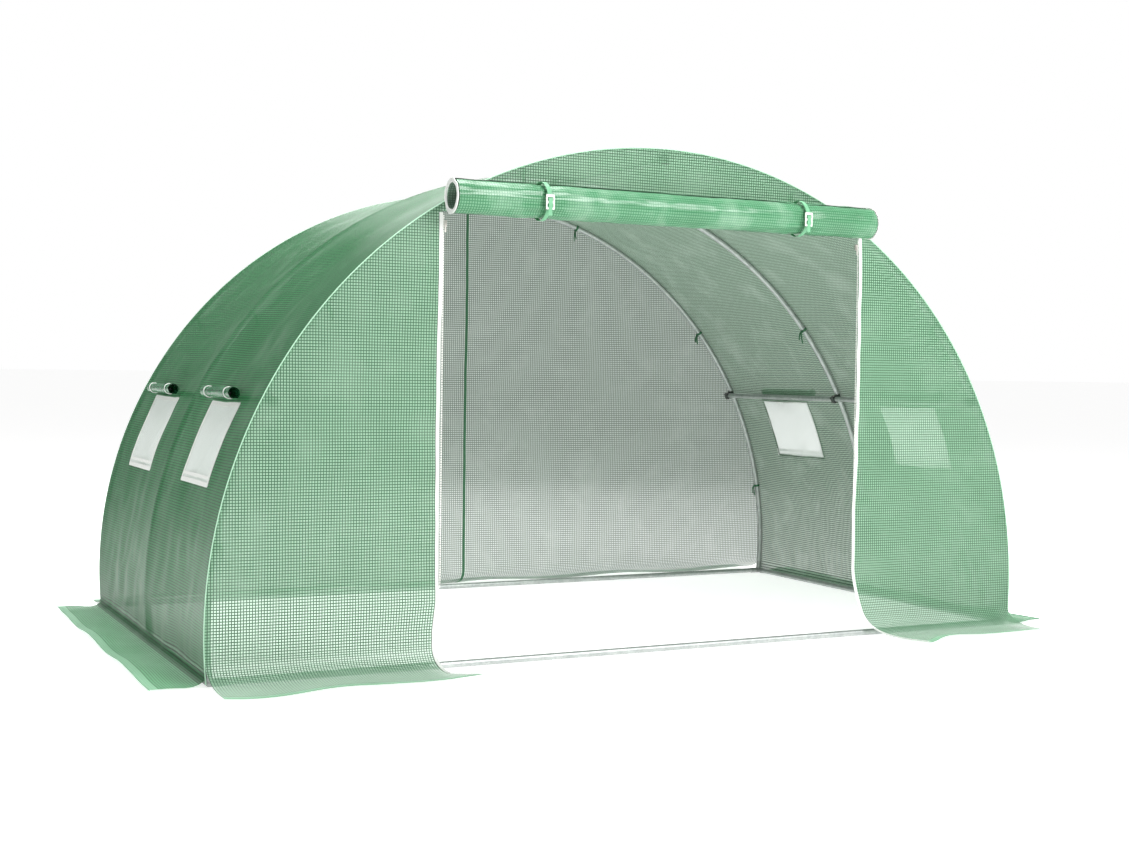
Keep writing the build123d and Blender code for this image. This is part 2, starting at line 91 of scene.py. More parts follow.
# %% [markdown]
# ## Sheets as grids
#
# Film, webbing and mesh are all sheets. Each could be a subdivided plane pushed into shape, but a
# grid made from two lists of lengths is simpler to control: every point knows how far along and
# across the uncut cloth it is, and those two lengths, in metres, are also its UV. The net in the
# film then has its true size everywhere, and it bends with the cloth.

# %% Even steps, new objects and their UV
def steps(low, high, pitch, also=()):
    """Evenly spaced values from low to high, with some exact values put in."""
    count = max(1, round((high - low) / pitch))
    values = [low + (high - low) * i / count for i in range(count + 1)]
    for extra in also:
        nearest = min(range(len(values)), key=lambda i: abs(values[i] - extra))
        values[nearest] = extra
    return sorted(set(values))


def new_object(name, data):
    thing = bpy.data.objects.new(name, data)
    bpy.context.scene.collection.objects.link(thing)
    return thing


def write_uv(mesh, uvs):
    layer = mesh.uv_layers.new(name="metres")
    for loop, uv in zip(layer.data, uvs):
        loop.uv = uv


def remap_uv(piece, place):
    """Move each UV to place(u, v), for a sheet whose grid isn't counted in metres."""
    for loop in piece.data.uv_layers[0].data:
        loop.uv = place(*loop.uv)


print("steps from 0 to 1 by 0.4:", steps(0, 1, 0.4))

# %% [markdown]
# The grid itself is a list of points and a list of four-sided faces. Faces can be left out, which
# makes a window, and each face can take its own finish, which makes a hem.

# %% A sheet from a grid
def grid_piece(name, us, vs, place, finish, keep=None, slot_of=None, flip=False):
    """Sheet whose point (u, v) stands at place(u, v); its UV is (u, v) in metres."""
    mesh = bpy.data.meshes.new(name)
    verts = [place(u, v) for v in vs for u in us]
    across = len(us)
    faces, uvs, slots = [], [], []
    for j in range(len(vs) - 1):
        for i in range(across - 1):
            u_mid, v_mid = (us[i] + us[i + 1]) / 2, (vs[j] + vs[j + 1]) / 2
            if keep and not keep(u_mid, v_mid):
                continue
            corner = j * across + i
            faces.append((corner, corner + 1, corner + 1 + across, corner + across))
            uvs += [(us[i], vs[j]), (us[i + 1], vs[j]), (us[i + 1], vs[j + 1]), (us[i], vs[j + 1])]
            slots.append(slot_of(u_mid, v_mid) if slot_of else 0)
            if flip:
                faces[-1] = faces[-1][::-1]
                uvs[-4:] = uvs[-4:][::-1]
    mesh.from_pydata(verts, [], faces)
    write_uv(mesh, uvs)
    for polygon, slot in zip(mesh.polygons, slots):
        polygon.material_index = slot
        polygon.use_smooth = True
    loose = bmesh.new()
    loose.from_mesh(mesh)
    bmesh.ops.delete(loose, geom=[v for v in loose.verts if not v.link_faces], context="VERTS")
    loose.to_mesh(mesh)
    loose.free()
    for material in finish if isinstance(finish, list) else [finish]:
        mesh.materials.append(material)
    return new_object(name, mesh)


# %% [markdown]
# Tape and webbing are thin, but they are seen edge on, so a single surface would vanish. Each is
# a closed strip with four sides along a line of points, and two small ends.

# %% A closed flat strip
def strip_piece(name, path, side, width, thickness, finish):
    """Closed flat strip: path is its middle line, side(i) the unit vector across it."""
    mesh = bpy.data.meshes.new(name)
    verts, faces, uvs = [], [], []
    run = 0.0
    lengths = []
    for i, point in enumerate(path):
        run += (Vector(point) - Vector(path[i - 1])).length if i else 0.0
        lengths.append(run)
        ahead = Vector(path[min(i + 1, len(path) - 1)]) - Vector(path[max(i - 1, 0)])
        across = Vector(side(i)).normalized()
        out = across.cross(ahead).normalized()
        for a, b in ((-1, -1), (1, -1), (1, 1), (-1, 1)):
            verts.append(Vector(point) + across * (a * width / 2) + out * (b * thickness / 2))
    edge = (0.0, width, width + thickness, 2 * width + thickness, 2 * width + 2 * thickness)
    for i in range(len(path) - 1):
        for k in range(4):
            n = (k + 1) % 4
            faces.append((4 * i + k, 4 * i + n, 4 * i + 4 + n, 4 * i + 4 + k))
            uvs += [(edge[k], lengths[i]), (edge[k + 1], lengths[i])]
            uvs += [(edge[k + 1], lengths[i + 1]), (edge[k], lengths[i + 1])]
    last = 4 * (len(path) - 1)
    faces += [(3, 2, 1, 0), (last, last + 1, last + 2, last + 3)]
    uvs += [(0, 0), (width, 0), (width, thickness), (0, thickness)] * 2
    mesh.from_pydata(verts, [], faces)
    write_uv(mesh, uvs)
    mesh.materials.append(finish)
    return new_object(name, mesh)


def path_length(path):
    return sum((b - a).length for a, b in zip(path, path[1:]))


# %% [markdown]
# Piping, hems and elastic are round. A curve with a bevel is the quickest way to a tube through
# points, and it is turned into a mesh so that it can be joined and measured like the rest.

# %% Round cords
def round_piece(name, paths, radius, finish, closed=False):
    """Round cords or pipings through lists of points, as one piece."""
    curve = bpy.data.curves.new(name, "CURVE")
    curve.dimensions = "3D"
    curve.bevel_depth = radius
    curve.bevel_resolution = 2
    curve.use_fill_caps = True
    for path in paths:
        spline = curve.splines.new("POLY")
        spline.points.add(len(path) - 1)
        for point, at in zip(spline.points, path):
            point.co = (*at, 1.0)
        spline.use_cyclic_u = closed
    source = new_object(name + "_curve", curve)
    bpy.context.view_layer.update()
    graph = bpy.context.evaluated_depsgraph_get()
    mesh = bpy.data.meshes.new_from_object(source.evaluated_get(graph))
    bpy.data.objects.remove(source)
    for polygon in mesh.polygons:
        polygon.use_smooth = True
    mesh.materials.clear()
    mesh.materials.append(finish)
    return new_object(name, mesh)


def ripple(x, y, z, size, amount):
    """Gentle unevenness of cloth, the same on every run."""
    return amount * noise.noise(Vector((x / size, y / size, z / size)))


print("a ripple of up to 10 mm:", [round(ripple(x, 0, 0, 0.1, 0.01), 4) for x in (0.02, 0.15)])

# %% [markdown]
# ## Shader groups
#
# Three effects are used by more than one finish, so each is a node group with named inputs. The
# first is the net in the film: lines at an even pitch both ways, read from the UV in metres. It
# gives the colour, how much light the film stops and a height for the raised threads. The second
# is the plain weave of tapes and webbing. The third is zinc spangle, the faint cloudy crystal
# pattern of galvanised steel.

# %% Small helpers for nodes
def new_group(name, inputs, outputs):
    tree = bpy.data.node_groups.new(name, "ShaderNodeTree")
    for label, kind, value in inputs:
        socket = tree.interface.new_socket(label, in_out="INPUT", socket_type=kind)
        socket.default_value = value
    for label, kind in outputs:
        tree.interface.new_socket(label, in_out="OUTPUT", socket_type=kind)
    return tree, tree.nodes.new("NodeGroupInput"), tree.nodes.new("NodeGroupOutput")


def math_node(tree, operation, first, second=None, clamp=False):
    node = tree.nodes.new("ShaderNodeMath")
    node.operation = operation
    node.use_clamp = clamp
    for socket, value in zip(node.inputs, (first, second)):
        if value is None:
            continue
        if hasattr(value, "links"):
            tree.links.new(value, socket)
        else:
            socket.default_value = value
    return node.outputs[0]


def mix_colour(tree, amount, first, second, blend="MIX"):
    node = tree.nodes.new("ShaderNodeMix")
    node.data_type = "RGBA"
    node.blend_type = blend
    for socket, value in ((node.inputs[0], amount), (node.inputs[6], first), (node.inputs[7], second)):
        if hasattr(value, "links"):
            tree.links.new(value, socket)
        else:
            socket.default_value = value
    return node.outputs[2]


def noise_value(tree, vector, scale, detail=3.0, roughness=0.55):
    node = tree.nodes.new("ShaderNodeTexNoise")
    tree.links.new(vector, node.inputs["Vector"])
    node.inputs["Scale"].default_value = scale
    node.inputs["Detail"].default_value = detail
    node.inputs["Roughness"].default_value = roughness
    return node.outputs[0]


def line_mask(tree, length, pitch, share, softness):
    """1 on the lines of an even rule and 0 between them."""
    turns = math_node(tree, "DIVIDE", length, pitch)
    place = math_node(tree, "FRACT", turns)
    away = math_node(tree, "ABSOLUTE", math_node(tree, "SUBTRACT", place, 0.5))
    edge = math_node(tree, "SUBTRACT", math_node(tree, "MULTIPLY", share, 0.5), away)
    return math_node(tree, "ADD", math_node(tree, "DIVIDE", edge, softness), 0.5, clamp=True)


# %% [markdown]
# The net: two sets of lines cross, and where either is 1 there is a thread. A cloudy mottle over
# the whole body makes the film a little lighter and darker from place to place.

# %% Group: net in the film
NET, net_in, net_out = new_group(
    "film_net",
    [
        ("Pitch", "NodeSocketFloat", 0.0106),
        ("Thread share", "NodeSocketFloat", 0.36),
        ("Film", "NodeSocketColor", (0.4, 0.6, 0.45, 1)),
        ("Thread", "NodeSocketColor", (0.05, 0.2, 0.09, 1)),
        ("Film stops", "NodeSocketFloat", 0.7),
        ("Thread stops", "NodeSocketFloat", 0.98),
        ("Mottle", "NodeSocketFloat", 0.25),
    ],
    [("Color", "NodeSocketColor"), ("Alpha", "NodeSocketFloat"), ("Height", "NodeSocketFloat")],
)
uv = NET.nodes.new("ShaderNodeUVMap")
split = NET.nodes.new("ShaderNodeSeparateXYZ")
NET.links.new(uv.outputs[0], split.inputs[0])
lines = [
    line_mask(NET, split.outputs[k], net_in.outputs["Pitch"], net_in.outputs["Thread share"], 0.12)
    for k in (0, 1)
]
threads = math_node(NET, "MAXIMUM", *lines)
body = NET.nodes.new("ShaderNodeTexCoord").outputs["Object"]
clouds = noise_value(NET, body, 5.0, 4.0)
uneven = math_node(NET, "MULTIPLY", math_node(NET, "SUBTRACT", clouds, 0.5), net_in.outputs["Mottle"])
base = mix_colour(NET, threads, net_in.outputs["Film"], net_in.outputs["Thread"])
lighter = mix_colour(NET, math_node(NET, "ADD", uneven, 0.0, clamp=True), base, (0.75, 0.9, 0.78, 1))
darker_by = math_node(NET, "MULTIPLY", uneven, -1.6, clamp=True)
darker = mix_colour(NET, darker_by, lighter, (0.03, 0.12, 0.05, 1))
stops = NET.nodes.new("ShaderNodeMapRange")
NET.links.new(threads, stops.inputs["Value"])
NET.links.new(net_in.outputs["Film stops"], stops.inputs["To Min"])
NET.links.new(net_in.outputs["Thread stops"], stops.inputs["To Max"])
NET.links.new(darker, net_out.inputs["Color"])
NET.links.new(stops.outputs[0], net_out.inputs["Alpha"])
NET.links.new(threads, net_out.inputs["Height"])
print("film_net has", len(NET.nodes), "nodes")

# %% [markdown]
# The weave: two sine waves at right angles, multiplied, give the over and under of plain weave.

# %% Group: plain weave
WEAVE, weave_in, weave_out = new_group(
    "tape_weave",
    [
        ("Pitch", "NodeSocketFloat", 0.0016),
        ("Yarn", "NodeSocketColor", (0.5, 0.5, 0.5, 1)),
        ("Gap", "NodeSocketColor", (0.2, 0.2, 0.2, 1)),
        ("Soil", "NodeSocketFloat", 0.2),
    ],
    [("Color", "NodeSocketColor"), ("Height", "NodeSocketFloat")],
)
uv = WEAVE.nodes.new("ShaderNodeUVMap")
split = WEAVE.nodes.new("ShaderNodeSeparateXYZ")
WEAVE.links.new(uv.outputs[0], split.inputs[0])
waves = []
for k in (0, 1):
    turns = math_node(WEAVE, "DIVIDE", split.outputs[k], weave_in.outputs["Pitch"])
    angle = math_node(WEAVE, "MULTIPLY", turns, 2 * math.pi)
    waves.append(math_node(WEAVE, "SINE", angle))
height = math_node(WEAVE, "MULTIPLY", *waves)
height = math_node(WEAVE, "ADD", math_node(WEAVE, "MULTIPLY", height, 0.5), 0.5)
body = WEAVE.nodes.new("ShaderNodeTexCoord").outputs["Object"]
soil = math_node(WEAVE, "MULTIPLY", noise_value(WEAVE, body, 18.0), weave_in.outputs["Soil"])
yarn = mix_colour(WEAVE, height, weave_in.outputs["Gap"], weave_in.outputs["Yarn"])
WEAVE.links.new(mix_colour(WEAVE, soil, yarn, weave_in.outputs["Gap"]), weave_out.inputs["Color"])
WEAVE.links.new(height, weave_out.inputs["Height"])
print("tape_weave has", len(WEAVE.nodes), "nodes")

# %% [markdown]
# The spangle: each cell of a Voronoi pattern is one crystal of zinc, dulled here and there.

# %% Group: zinc spangle
SPANGLE, spangle_in, spangle_out = new_group(
    "zinc_spangle",
    [
        ("Metal", "NodeSocketColor", (0.6, 0.62, 0.6, 1)),
        ("Dull", "NodeSocketColor", (0.4, 0.42, 0.41, 1)),
        ("Roughness", "NodeSocketFloat", 0.38),
    ],
    [("Color", "NodeSocketColor"), ("Roughness", "NodeSocketFloat"), ("Height", "NodeSocketFloat")],
)
body = SPANGLE.nodes.new("ShaderNodeTexCoord").outputs["Object"]
cells = SPANGLE.nodes.new("ShaderNodeTexVoronoi")
cells.inputs["Scale"].default_value = 90.0
SPANGLE.links.new(body, cells.inputs["Vector"])
crystal = SPANGLE.nodes.new("ShaderNodeSeparateColor")
SPANGLE.links.new(cells.outputs["Color"], crystal.inputs[0])
dust = noise_value(SPANGLE, body, 14.0, 5.0)
facets = math_node(SPANGLE, "MULTIPLY", crystal.outputs[0], 0.35)
patch = math_node(SPANGLE, "ADD", facets, dust, clamp=True)
tint = mix_colour(SPANGLE, patch, spangle_in.outputs["Metal"], spangle_in.outputs["Dull"])
duller = math_node(SPANGLE, "MULTIPLY", patch, 0.2)
rough = math_node(SPANGLE, "ADD", duller, spangle_in.outputs["Roughness"])
SPANGLE.links.new(tint, spangle_out.inputs["Color"])
SPANGLE.links.new(rough, spangle_out.inputs["Roughness"])
SPANGLE.links.new(dust, spangle_out.inputs["Height"])
print("zinc_spangle has", len(SPANGLE.nodes), "nodes")

# %% [markdown]
# ## Finishes
#
# Film lets light through in two ways: some passes straight between the threads, and some is
# scattered on its way and lights up the far side. A glass shader would bend the view, so the film
# is a plain glossy surface with an alpha from the net, mixed with a translucent one. Tapes are
# woven and opaque. Steel is metallic with the spangle in its colour and roughness.

# %% The film shader
def new_material(name):
    material = bpy.data.materials.new(name)
    material.use_nodes = True
    tree = material.node_tree
    shader = tree.nodes["Principled BSDF"]
    return material, tree, shader, tree.nodes["Material Output"]


def place_group(tree, group, **values):
    node = tree.nodes.new("ShaderNodeGroup")
    node.node_tree = group
    for label, value in values.items():
        node.inputs[label.replace("_", " ")].default_value = value
    return node


def bump(tree, shader, height, strength, distance):
    node = tree.nodes.new("ShaderNodeBump")
    node.inputs["Strength"].default_value = strength
    node.inputs["Distance"].default_value = distance
    tree.links.new(height, node.inputs["Height"])
    tree.links.new(node.outputs[0], shader.inputs["Normal"])


def film(name, film_colour, thread_colour, film_stops, glow=0.07, roughness=0.38, inner=0.6, inside_light=1.05,
         shine=0.32, **values):
    """Grid film: glossy skin, see-through squares and a scattered glow from behind."""
    material, tree, shader, output = new_material(name)
    net = place_group(tree, NET, Film=film_colour, Thread=thread_colour, Film_stops=film_stops, **values)
    # Painted light: the inner face is painted greyer and brighter, most on the walls, standing in for
    # light that comes through the film
    lit_inside = tree.nodes.new("ShaderNodeHueSaturation")
    lit_inside.inputs["Saturation"].default_value = 0.3
    lit_inside.inputs["Value"].default_value = inside_light
    tree.links.new(net.outputs["Color"], lit_inside.inputs["Color"])
    face = tree.nodes.new("ShaderNodeNewGeometry").outputs["Backfacing"]
    share = math_node(tree, "MULTIPLY", face, inner)
    seen = mix_colour(tree, share, net.outputs["Color"], lit_inside.outputs[0])
    tree.links.new(seen, shader.inputs["Base Color"])
    tree.links.new(net.outputs["Alpha"], shader.inputs["Alpha"])
    shader.inputs["Roughness"].default_value = roughness
    shader.inputs["Specular IOR Level"].default_value = shine
    bump(tree, shader, net.outputs["Height"], 0.25, 0.0006)
    through = tree.nodes.new("ShaderNodeBsdfTranslucent")
    through.inputs["Color"].default_value = film_colour
    mix = tree.nodes.new("ShaderNodeMixShader")
    mix.inputs[0].default_value = glow
    tree.links.new(shader.outputs[0], mix.inputs[1])
    tree.links.new(through.outputs[0], mix.inputs[2])
    tree.links.new(mix.outputs[0], output.inputs["Surface"])
    return material


# %% [markdown]
# Tape, steel and moulded plastic each need only one shader, with its colour from a group.

# %% Tape, steel and plastic shaders
def tape(name, yarn, gap, roughness=0.7, pitch=0.0016, soil=0.2):
    material, tree, shader, _ = new_material(name)
    weave = place_group(tree, WEAVE, Pitch=pitch, Yarn=yarn, Gap=gap, Soil=soil)
    tree.links.new(weave.outputs["Color"], shader.inputs["Base Color"])
    shader.inputs["Roughness"].default_value = roughness
    bump(tree, shader, weave.outputs["Height"], 0.35, 0.0004)
    return material


def steel(name, metal, dull, roughness):
    material, tree, shader, _ = new_material(name)
    zinc = place_group(tree, SPANGLE, Metal=metal, Dull=dull, Roughness=roughness)
    tree.links.new(zinc.outputs["Color"], shader.inputs["Base Color"])
    tree.links.new(zinc.outputs["Roughness"], shader.inputs["Roughness"])
    shader.inputs["Metallic"].default_value = 0.85
    bump(tree, shader, zinc.outputs["Height"], 0.08, 0.0005)
    return material


def moulded(name, colour, roughness):
    """Moulded plastic with a fine spark-eroded texture and slight colour drift."""
    material, tree, shader, _ = new_material(name)
    body = tree.nodes.new("ShaderNodeTexCoord").outputs["Object"]
    drift = noise_value(tree, body, 40.0)
    darker = tuple(c * 0.8 for c in colour[:3]) + (1,)
    tree.links.new(mix_colour(tree, drift, darker, colour), shader.inputs["Base Color"])
    shader.inputs["Roughness"].default_value = roughness
    bump(tree, shader, noise_value(tree, body, 900.0, 2.0), 0.12, 0.0003)
    return material


# %% [markdown]
# Each finish below has a colour for the film or yarn, then a darker one for the thread or gap. The cover,
# skirts and gables are lit and shaded copies of one green film: the walls and roof are painted darker as
# painted shade, and the skirts, the front panels and, a little less, the back panel are painted paler as
# painted light. The front panels also let more light through.

# %% The finishes
# Painted shade and painted light: the walls and roof take a darker copy of the film, the skirts, back and
# front paler ones, and the walls' inner face is painted brighter
SHADED_WALL_FILM = film("shaded_wall_film", (0.050, 0.29, 0.10, 1), (0.002, 0.030, 0.009, 1), 0.78, inner=0.9,
                 inside_light=2.2, shine=0.1)
LIT_SKIRT_FILM = film("lit_skirt_film", (0.20, 0.66, 0.31, 1), (0.004, 0.060, 0.018, 1), 0.66, shine=0.08)
BACK_FILM = film("back_film", (0.26, 0.52, 0.33, 1), (0.005, 0.040, 0.014, 1), 0.50, inner=0.85)
LIT_FRONT_FILM = film("lit_front_film", (0.50, 0.92, 0.60, 1), (0.003, 0.050, 0.014, 1), 0.36, inner=0.8)
ROLL_FILM = film("roll_film", (0.14, 0.34, 0.19, 1), (0.05, 0.19, 0.09, 1), 0.97,
                 glow=0.04, roughness=0.22, Mottle=0.8)
FLAP_FILM = film("flap_film", (0.02, 0.20, 0.07, 1), (0.008, 0.09, 0.03, 1), 0.98,
                 glow=0.03, roughness=0.25, inner=0.0, Mottle=0.4)
HEM_FILM = film("hem_film", (0.36, 0.60, 0.42, 1), (0.20, 0.44, 0.27, 1), 0.93, glow=0.1)
WHITE_TAPE = tape("white_binding", (0.86, 0.88, 0.85, 1), (0.62, 0.64, 0.61, 1), soil=0.12)
GREEN_TAPE = tape("green_webbing", (0.06, 0.22, 0.10, 1), (0.02, 0.08, 0.04, 1))
SEAM_TAPE = tape("seam_tape", (0.10, 0.32, 0.17, 1), (0.04, 0.16, 0.08, 1), roughness=0.5)
STRAP_WEB = tape("strap_webbing", (0.22, 0.52, 0.30, 1), (0.08, 0.28, 0.14, 1), roughness=0.5)
# Painted highlight: the arch seam tape is painted pale green for light along the seam
SEAM_TAPE_PAINTED_HIGHLIGHT = tape("seam_tape_painted_highlight", (0.50, 0.74, 0.56, 1), (0.28, 0.52, 0.35, 1), roughness=0.4)
GALVANISED = steel("galvanised_tube", (0.62, 0.65, 0.63, 1), (0.40, 0.43, 0.42, 1), 0.34)
FITTING = steel("fitting_steel", (0.50, 0.52, 0.51, 1), (0.32, 0.34, 0.33, 1), 0.42)
BOLT = steel("bolt_steel", (0.70, 0.69, 0.64, 1), (0.45, 0.44, 0.40, 1), 0.28)
CLIP = moulded("clip_plastic", (0.035, 0.045, 0.04, 1), 0.45)
WHITE_PLASTIC = moulded("buckle_plastic", (0.82, 0.82, 0.78, 1), 0.32)
print(len(bpy.data.materials), "finishes so far")

# %% [markdown]
# The window screen is a fine white mesh. Its holes are too small to see from a few steps away,
# so it uses the same net group with a tight pitch, clear squares and white threads.

# %% Window mesh
SCREEN = film("window_mesh", (0.86, 0.90, 0.88, 1), (0.80, 0.84, 0.81, 1), 0.45, glow=0.35,
              roughness=0.6, Pitch=0.004, Thread_share=0.4, Thread_stops=0.95, Mottle=0.1)
print("made", SCREEN.name)

# %% [markdown]
# ## The frame
#
# The tubes, fittings, clips and bolts are right as they come from the CAD model, so they only
# take a finish.

# %% Finishes on the carried-over pieces
for name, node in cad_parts.items():
    finish = None
    if "_hoop_" in name or name.endswith("_tubes"):
        finish = GALVANISED
    elif name in ("corner_fittings", "foot_tees"):
        finish = FITTING
    elif name == "purlin_clips":
        finish = CLIP
    elif name in ("clip_bolts", "clip_nuts") or name.startswith("zip_slider"):
        finish = BOLT
    if finish:
        node.data.materials.clear()
        node.data.materials.append(finish)
print("frame pieces finished")

# %% [markdown]
# ## The curved cover
#
# One long piece of film goes over the hoops from the ground on the left to the ground on the
# right and carries on outwards as the side skirts. Four separate panels would show joins that the
# real cover doesn't have, so it is a single grid. Its u runs along the arch and its v runs from
# front to back. Film stands tight over each hoop and hangs in a little between them, and it
# puckers where it leaves the hoops. The four windows are holes whose edges lie on grid lines.

# %% Lengths on the cover, and its windows
ARC = R * (math.pi / 2 + math.asin(ZC / R))  # arch length from the ridge to the ground
SKIRT = SKIRT_OUT - GROUND_X
FLARE = 0.055  # length over which the wall turns outwards at the ground
SAG = 0.014

window_y = {}
for bay in ("front", "back"):
    low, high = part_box(f"{bay}_right_window_screen")
    window_y[bay] = (low.y, high.y)
window_low, window_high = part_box("front_right_window_screen")
window_angles = [math.asin((z - ZC) / R) for z in (window_low.z, window_high.z)]
window_u = [R * (math.pi / 2 - a) for a in window_angles]  # arch length from the ridge
print("arch from ridge to ground", round(ARC, 3), "window edges at", [round(u, 3) for u in window_u])

# %% [markdown]
# The place of a point on the cover is worked out in two parts. Above the ground it is a circle
# less the sag and the puckers. Below it the film bends outwards on a short curve and lies flat.

# %% Where a point of the cover stands
def skirt_wave(u, v):
    """How a loose skirt lifts off the ground along its edge."""
    lift = 0.5 + 0.5 * math.sin(7.0 * v + 1.3 * math.sin(3.1 * v) + (2.0 if u > 0 else 0.0))
    return 0.004 + 0.012 * lift + ripple(u, v, 1.0, 0.23, 0.006)


def cover_point(u, v):
    """Place of the cover's point u metres from the ridge, v metres behind the middle."""
    side = 1 if u > 0 else -1
    d = abs(u)
    bay_share = abs(math.sin(math.pi * v / abs(HOOP_Y)))
    if abs(v) > abs(HOOP_Y):
        bay_share = 0.0
    angle = math.pi / 2 - min(d, ARC) / R
    tight = min(1.0, abs(ARC - d) / 0.3) if d < ARC else 0.0
    sag = SAG * bay_share ** 0.8 * tight
    pucker = ripple(u, v * 0.35, 2.0, 0.16, 0.006) + ripple(u * 0.4, v, 5.0, 0.3, 0.009)
    low_down = min(1.0, max(0.0, d / ARC - 0.55) / 0.3)  # the walls hang looser than the roof
    pucker += low_down * ripple(u * 0.7 + v * 0.5, v, 9.0, 0.11, 0.009)
    radius = R - sag + pucker * bay_share - 0.004 * low_down * bay_share
    x = radius * math.cos(angle)
    z = ZC + radius * math.sin(angle)
    if d > ARC - FLARE:
        past = d - (ARC - FLARE)
        t = min(1.0, past / (2 * FLARE))
        out = past - FLARE * (t - t * t / 2) if d < ARC + FLARE else (d - ARC) + FLARE * 0.5
        x = GROUND_X + 0.002 + max(0.0, out - 0.006)
        height = FLARE * 0.62 * (1 - t) ** 2
        z = height + skirt_wave(u, v) * min(1.0, max(0.0, d - ARC) / 0.1) + 0.002
    return Vector((side * x, v, z))


def in_window(u, v):
    bay = "front" if v < 0 else "back"
    low, high = window_y[bay]
    return window_u[1] < abs(u) < window_u[0] and low < v < high


print("ridge between hoops is at", round(cover_point(0.001, HOOP_Y / 2).z, 3))

# %% [markdown]
# The grid has extra lines exactly at the window edges, so that the holes come out square. The
# last strip of each skirt takes the hem's finish.

# %% The cover
HEM = 0.03
u_edge = ARC + SKIRT - 0.03
us = steps(-u_edge, u_edge, 0.03, also=[s * w for s in (-1, 1) for w in window_u])
vs = steps(-GABLE, GABLE, 0.025, also=[y for pair in window_y.values() for y in pair])
cover = grid_piece(
    "cover_film", us, vs, cover_point, [SHADED_WALL_FILM, HEM_FILM, LIT_SKIRT_FILM],
    keep=lambda u, v: not in_window(u, v),
    slot_of=lambda u, v: 1 if abs(u) > u_edge - HEM else 2 if abs(u) > ARC else 0,
)
walls = [f"{b}_{s}_wall" for b in ("front", "back") for s in ("left", "right")]
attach(cover, "root")
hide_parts("front_roof", "back_roof", "side_skirt_left", "side_skirt_right", *walls)

# %% [markdown]
# ## The gable panels
#
# Each gable is flat film with a round top edge sewn to the cover. At the front it is three
# pieces: a panel each side of the doorway and a header above it. Film that isn't pulled tight
# billows by a centimetre or so. At its foot each panel curves forward and lies on the ground, so
# the panel and its skirt are one sheet whose lower rows bend outwards.

# %% Foot, billow and arch of a gable
FOOT = 0.085  # height at which a gable's film starts to turn outwards


def foot_curve(h):
    """(outwards, height) of film h metres above the ground line, less than 0 for the skirt."""
    if h >= FOOT:
        return 0.0, h
    reach = SKIRT_FRONT - GABLE
    t = (FOOT - h) / (FOOT + reach)
    out = (reach + 0.045) * t ** 1.5
    up = FOOT * (1 - t) ** 3.4 + 0.004
    return out, up


def billow(x, z, seed):
    loose = min(1.0, z / 0.5) * min(1.0, max(0.0, R - math.hypot(x, z - ZC)) / 0.15)
    deep = 0.012 * math.sin(2.3 * x + seed) * math.sin(1.9 * z + seed)
    fine = ripple(x * 0.5, z, seed, 0.12, 0.004) + ripple(x + 0.6 * z, z * 0.4, seed, 0.09, 0.003)
    return loose * (deep + ripple(x, z * 0.5, seed, 0.3, 0.010) + fine)


def arch_x(z):
    """Half width of the gable at a height; the skirt below the ground keeps the ground's."""
    z = max(z, 0.0)
    return math.sqrt(max(1e-6, (R - 0.002) ** 2 - (z - ZC) ** 2))


print("gable is", round(2 * arch_x(0.0), 3), "wide at the ground")

# %% [markdown]
# A front panel is cut like a slice of a half moon. Its grid runs from the doorway, t = 0, to the
# arch, t = 1, so its edge by the door is one column of points, and the zip can follow it.

# %% Front panels
def front_panel(side):
    sign = -1 if side == "left" else 1
    inner_corner = 0.09 if side == "left" else -0.22  # one corner spreads out, the other is tucked
    top = ZC + math.sqrt(R * R - DOOR * DOOR) - 0.004
    low = -(SKIRT_FRONT - GABLE)
    columns = [i / 36 for i in range(37)]

    def place(t, h):
        z_flat = max(h, 0.0)
        x = DOOR + t * (arch_x(z_flat) - DOOR)
        out, z = foot_curve(h)
        wave = 0.0
        if h < FOOT:
            wave = 0.012 * math.sin(9.0 * x + 2.0) * min(1.0, out / 0.1)
            z += 0.006 * (1 + math.sin(11.0 * x + sign)) * min(1.0, out / 0.05)
        z += 0.010 * max(0.0, math.sin(4.0 * x + 2 * sign)) * (out / 0.2) ** 2
        if side == "left":
            # This corner only spreads in front of where the door's roll comes down
            spread = min(1.0, max(0.0, out - 0.156) / 0.08)
            spread -= 0.14 * min(1.0, max(0.0, 0.25 - h) / 0.1) * (1 - spread)
        else:
            spread = min(1.0, max(0.0, 0.30 - h) / 0.5) ** 1.6
        edge_turn = max(0.0, 1 - t * 1.6) ** 2 * spread
        y = -GABLE - out + wave - billow(sign * x, z_flat, 1.0 + sign)
        return Vector((sign * x - edge_turn * sign * inner_corner, y, z))

    rows = steps(low, top, 0.025)
    panel = grid_piece(f"front_panel_film_{side}", columns, rows, place, [LIT_FRONT_FILM, HEM_FILM],
                       slot_of=lambda t, h: 1 if h < low + HEM else 0, flip=side == "left")
    # The cut is a half-round shape, so its UV comes from where each point lies when flat
    remap_uv(panel, lambda t, h: (DOOR + t * (arch_x(max(h, 0.0)) - DOOR), h))
    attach(panel, "root")
    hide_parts(f"front_panel_{side}", f"front_skirt_{side}")
    half_moon = sum((arch_x(max(h, 0.0)) - DOOR) * 0.01 for h in steps(low, top, 0.01))
    return place


front_place = {side: front_panel(side) for side in ("left", "right")}


def front_edge(side, h):
    return front_place[side](0.0, h)


print("left edge at the ground", [round(c, 3) for c in front_edge("left", 0.0)])

# %% [markdown]
# The header fills the arch above the doorway, and the back panel fills the whole arch.

# %% Header and back panel
def header_point(x, t):
    top = ZC + math.sqrt((R - 0.002) ** 2 - x * x)
    z = HEADER + t * (top - HEADER)
    return Vector((x, -GABLE - billow(x, z, 4.0), z))


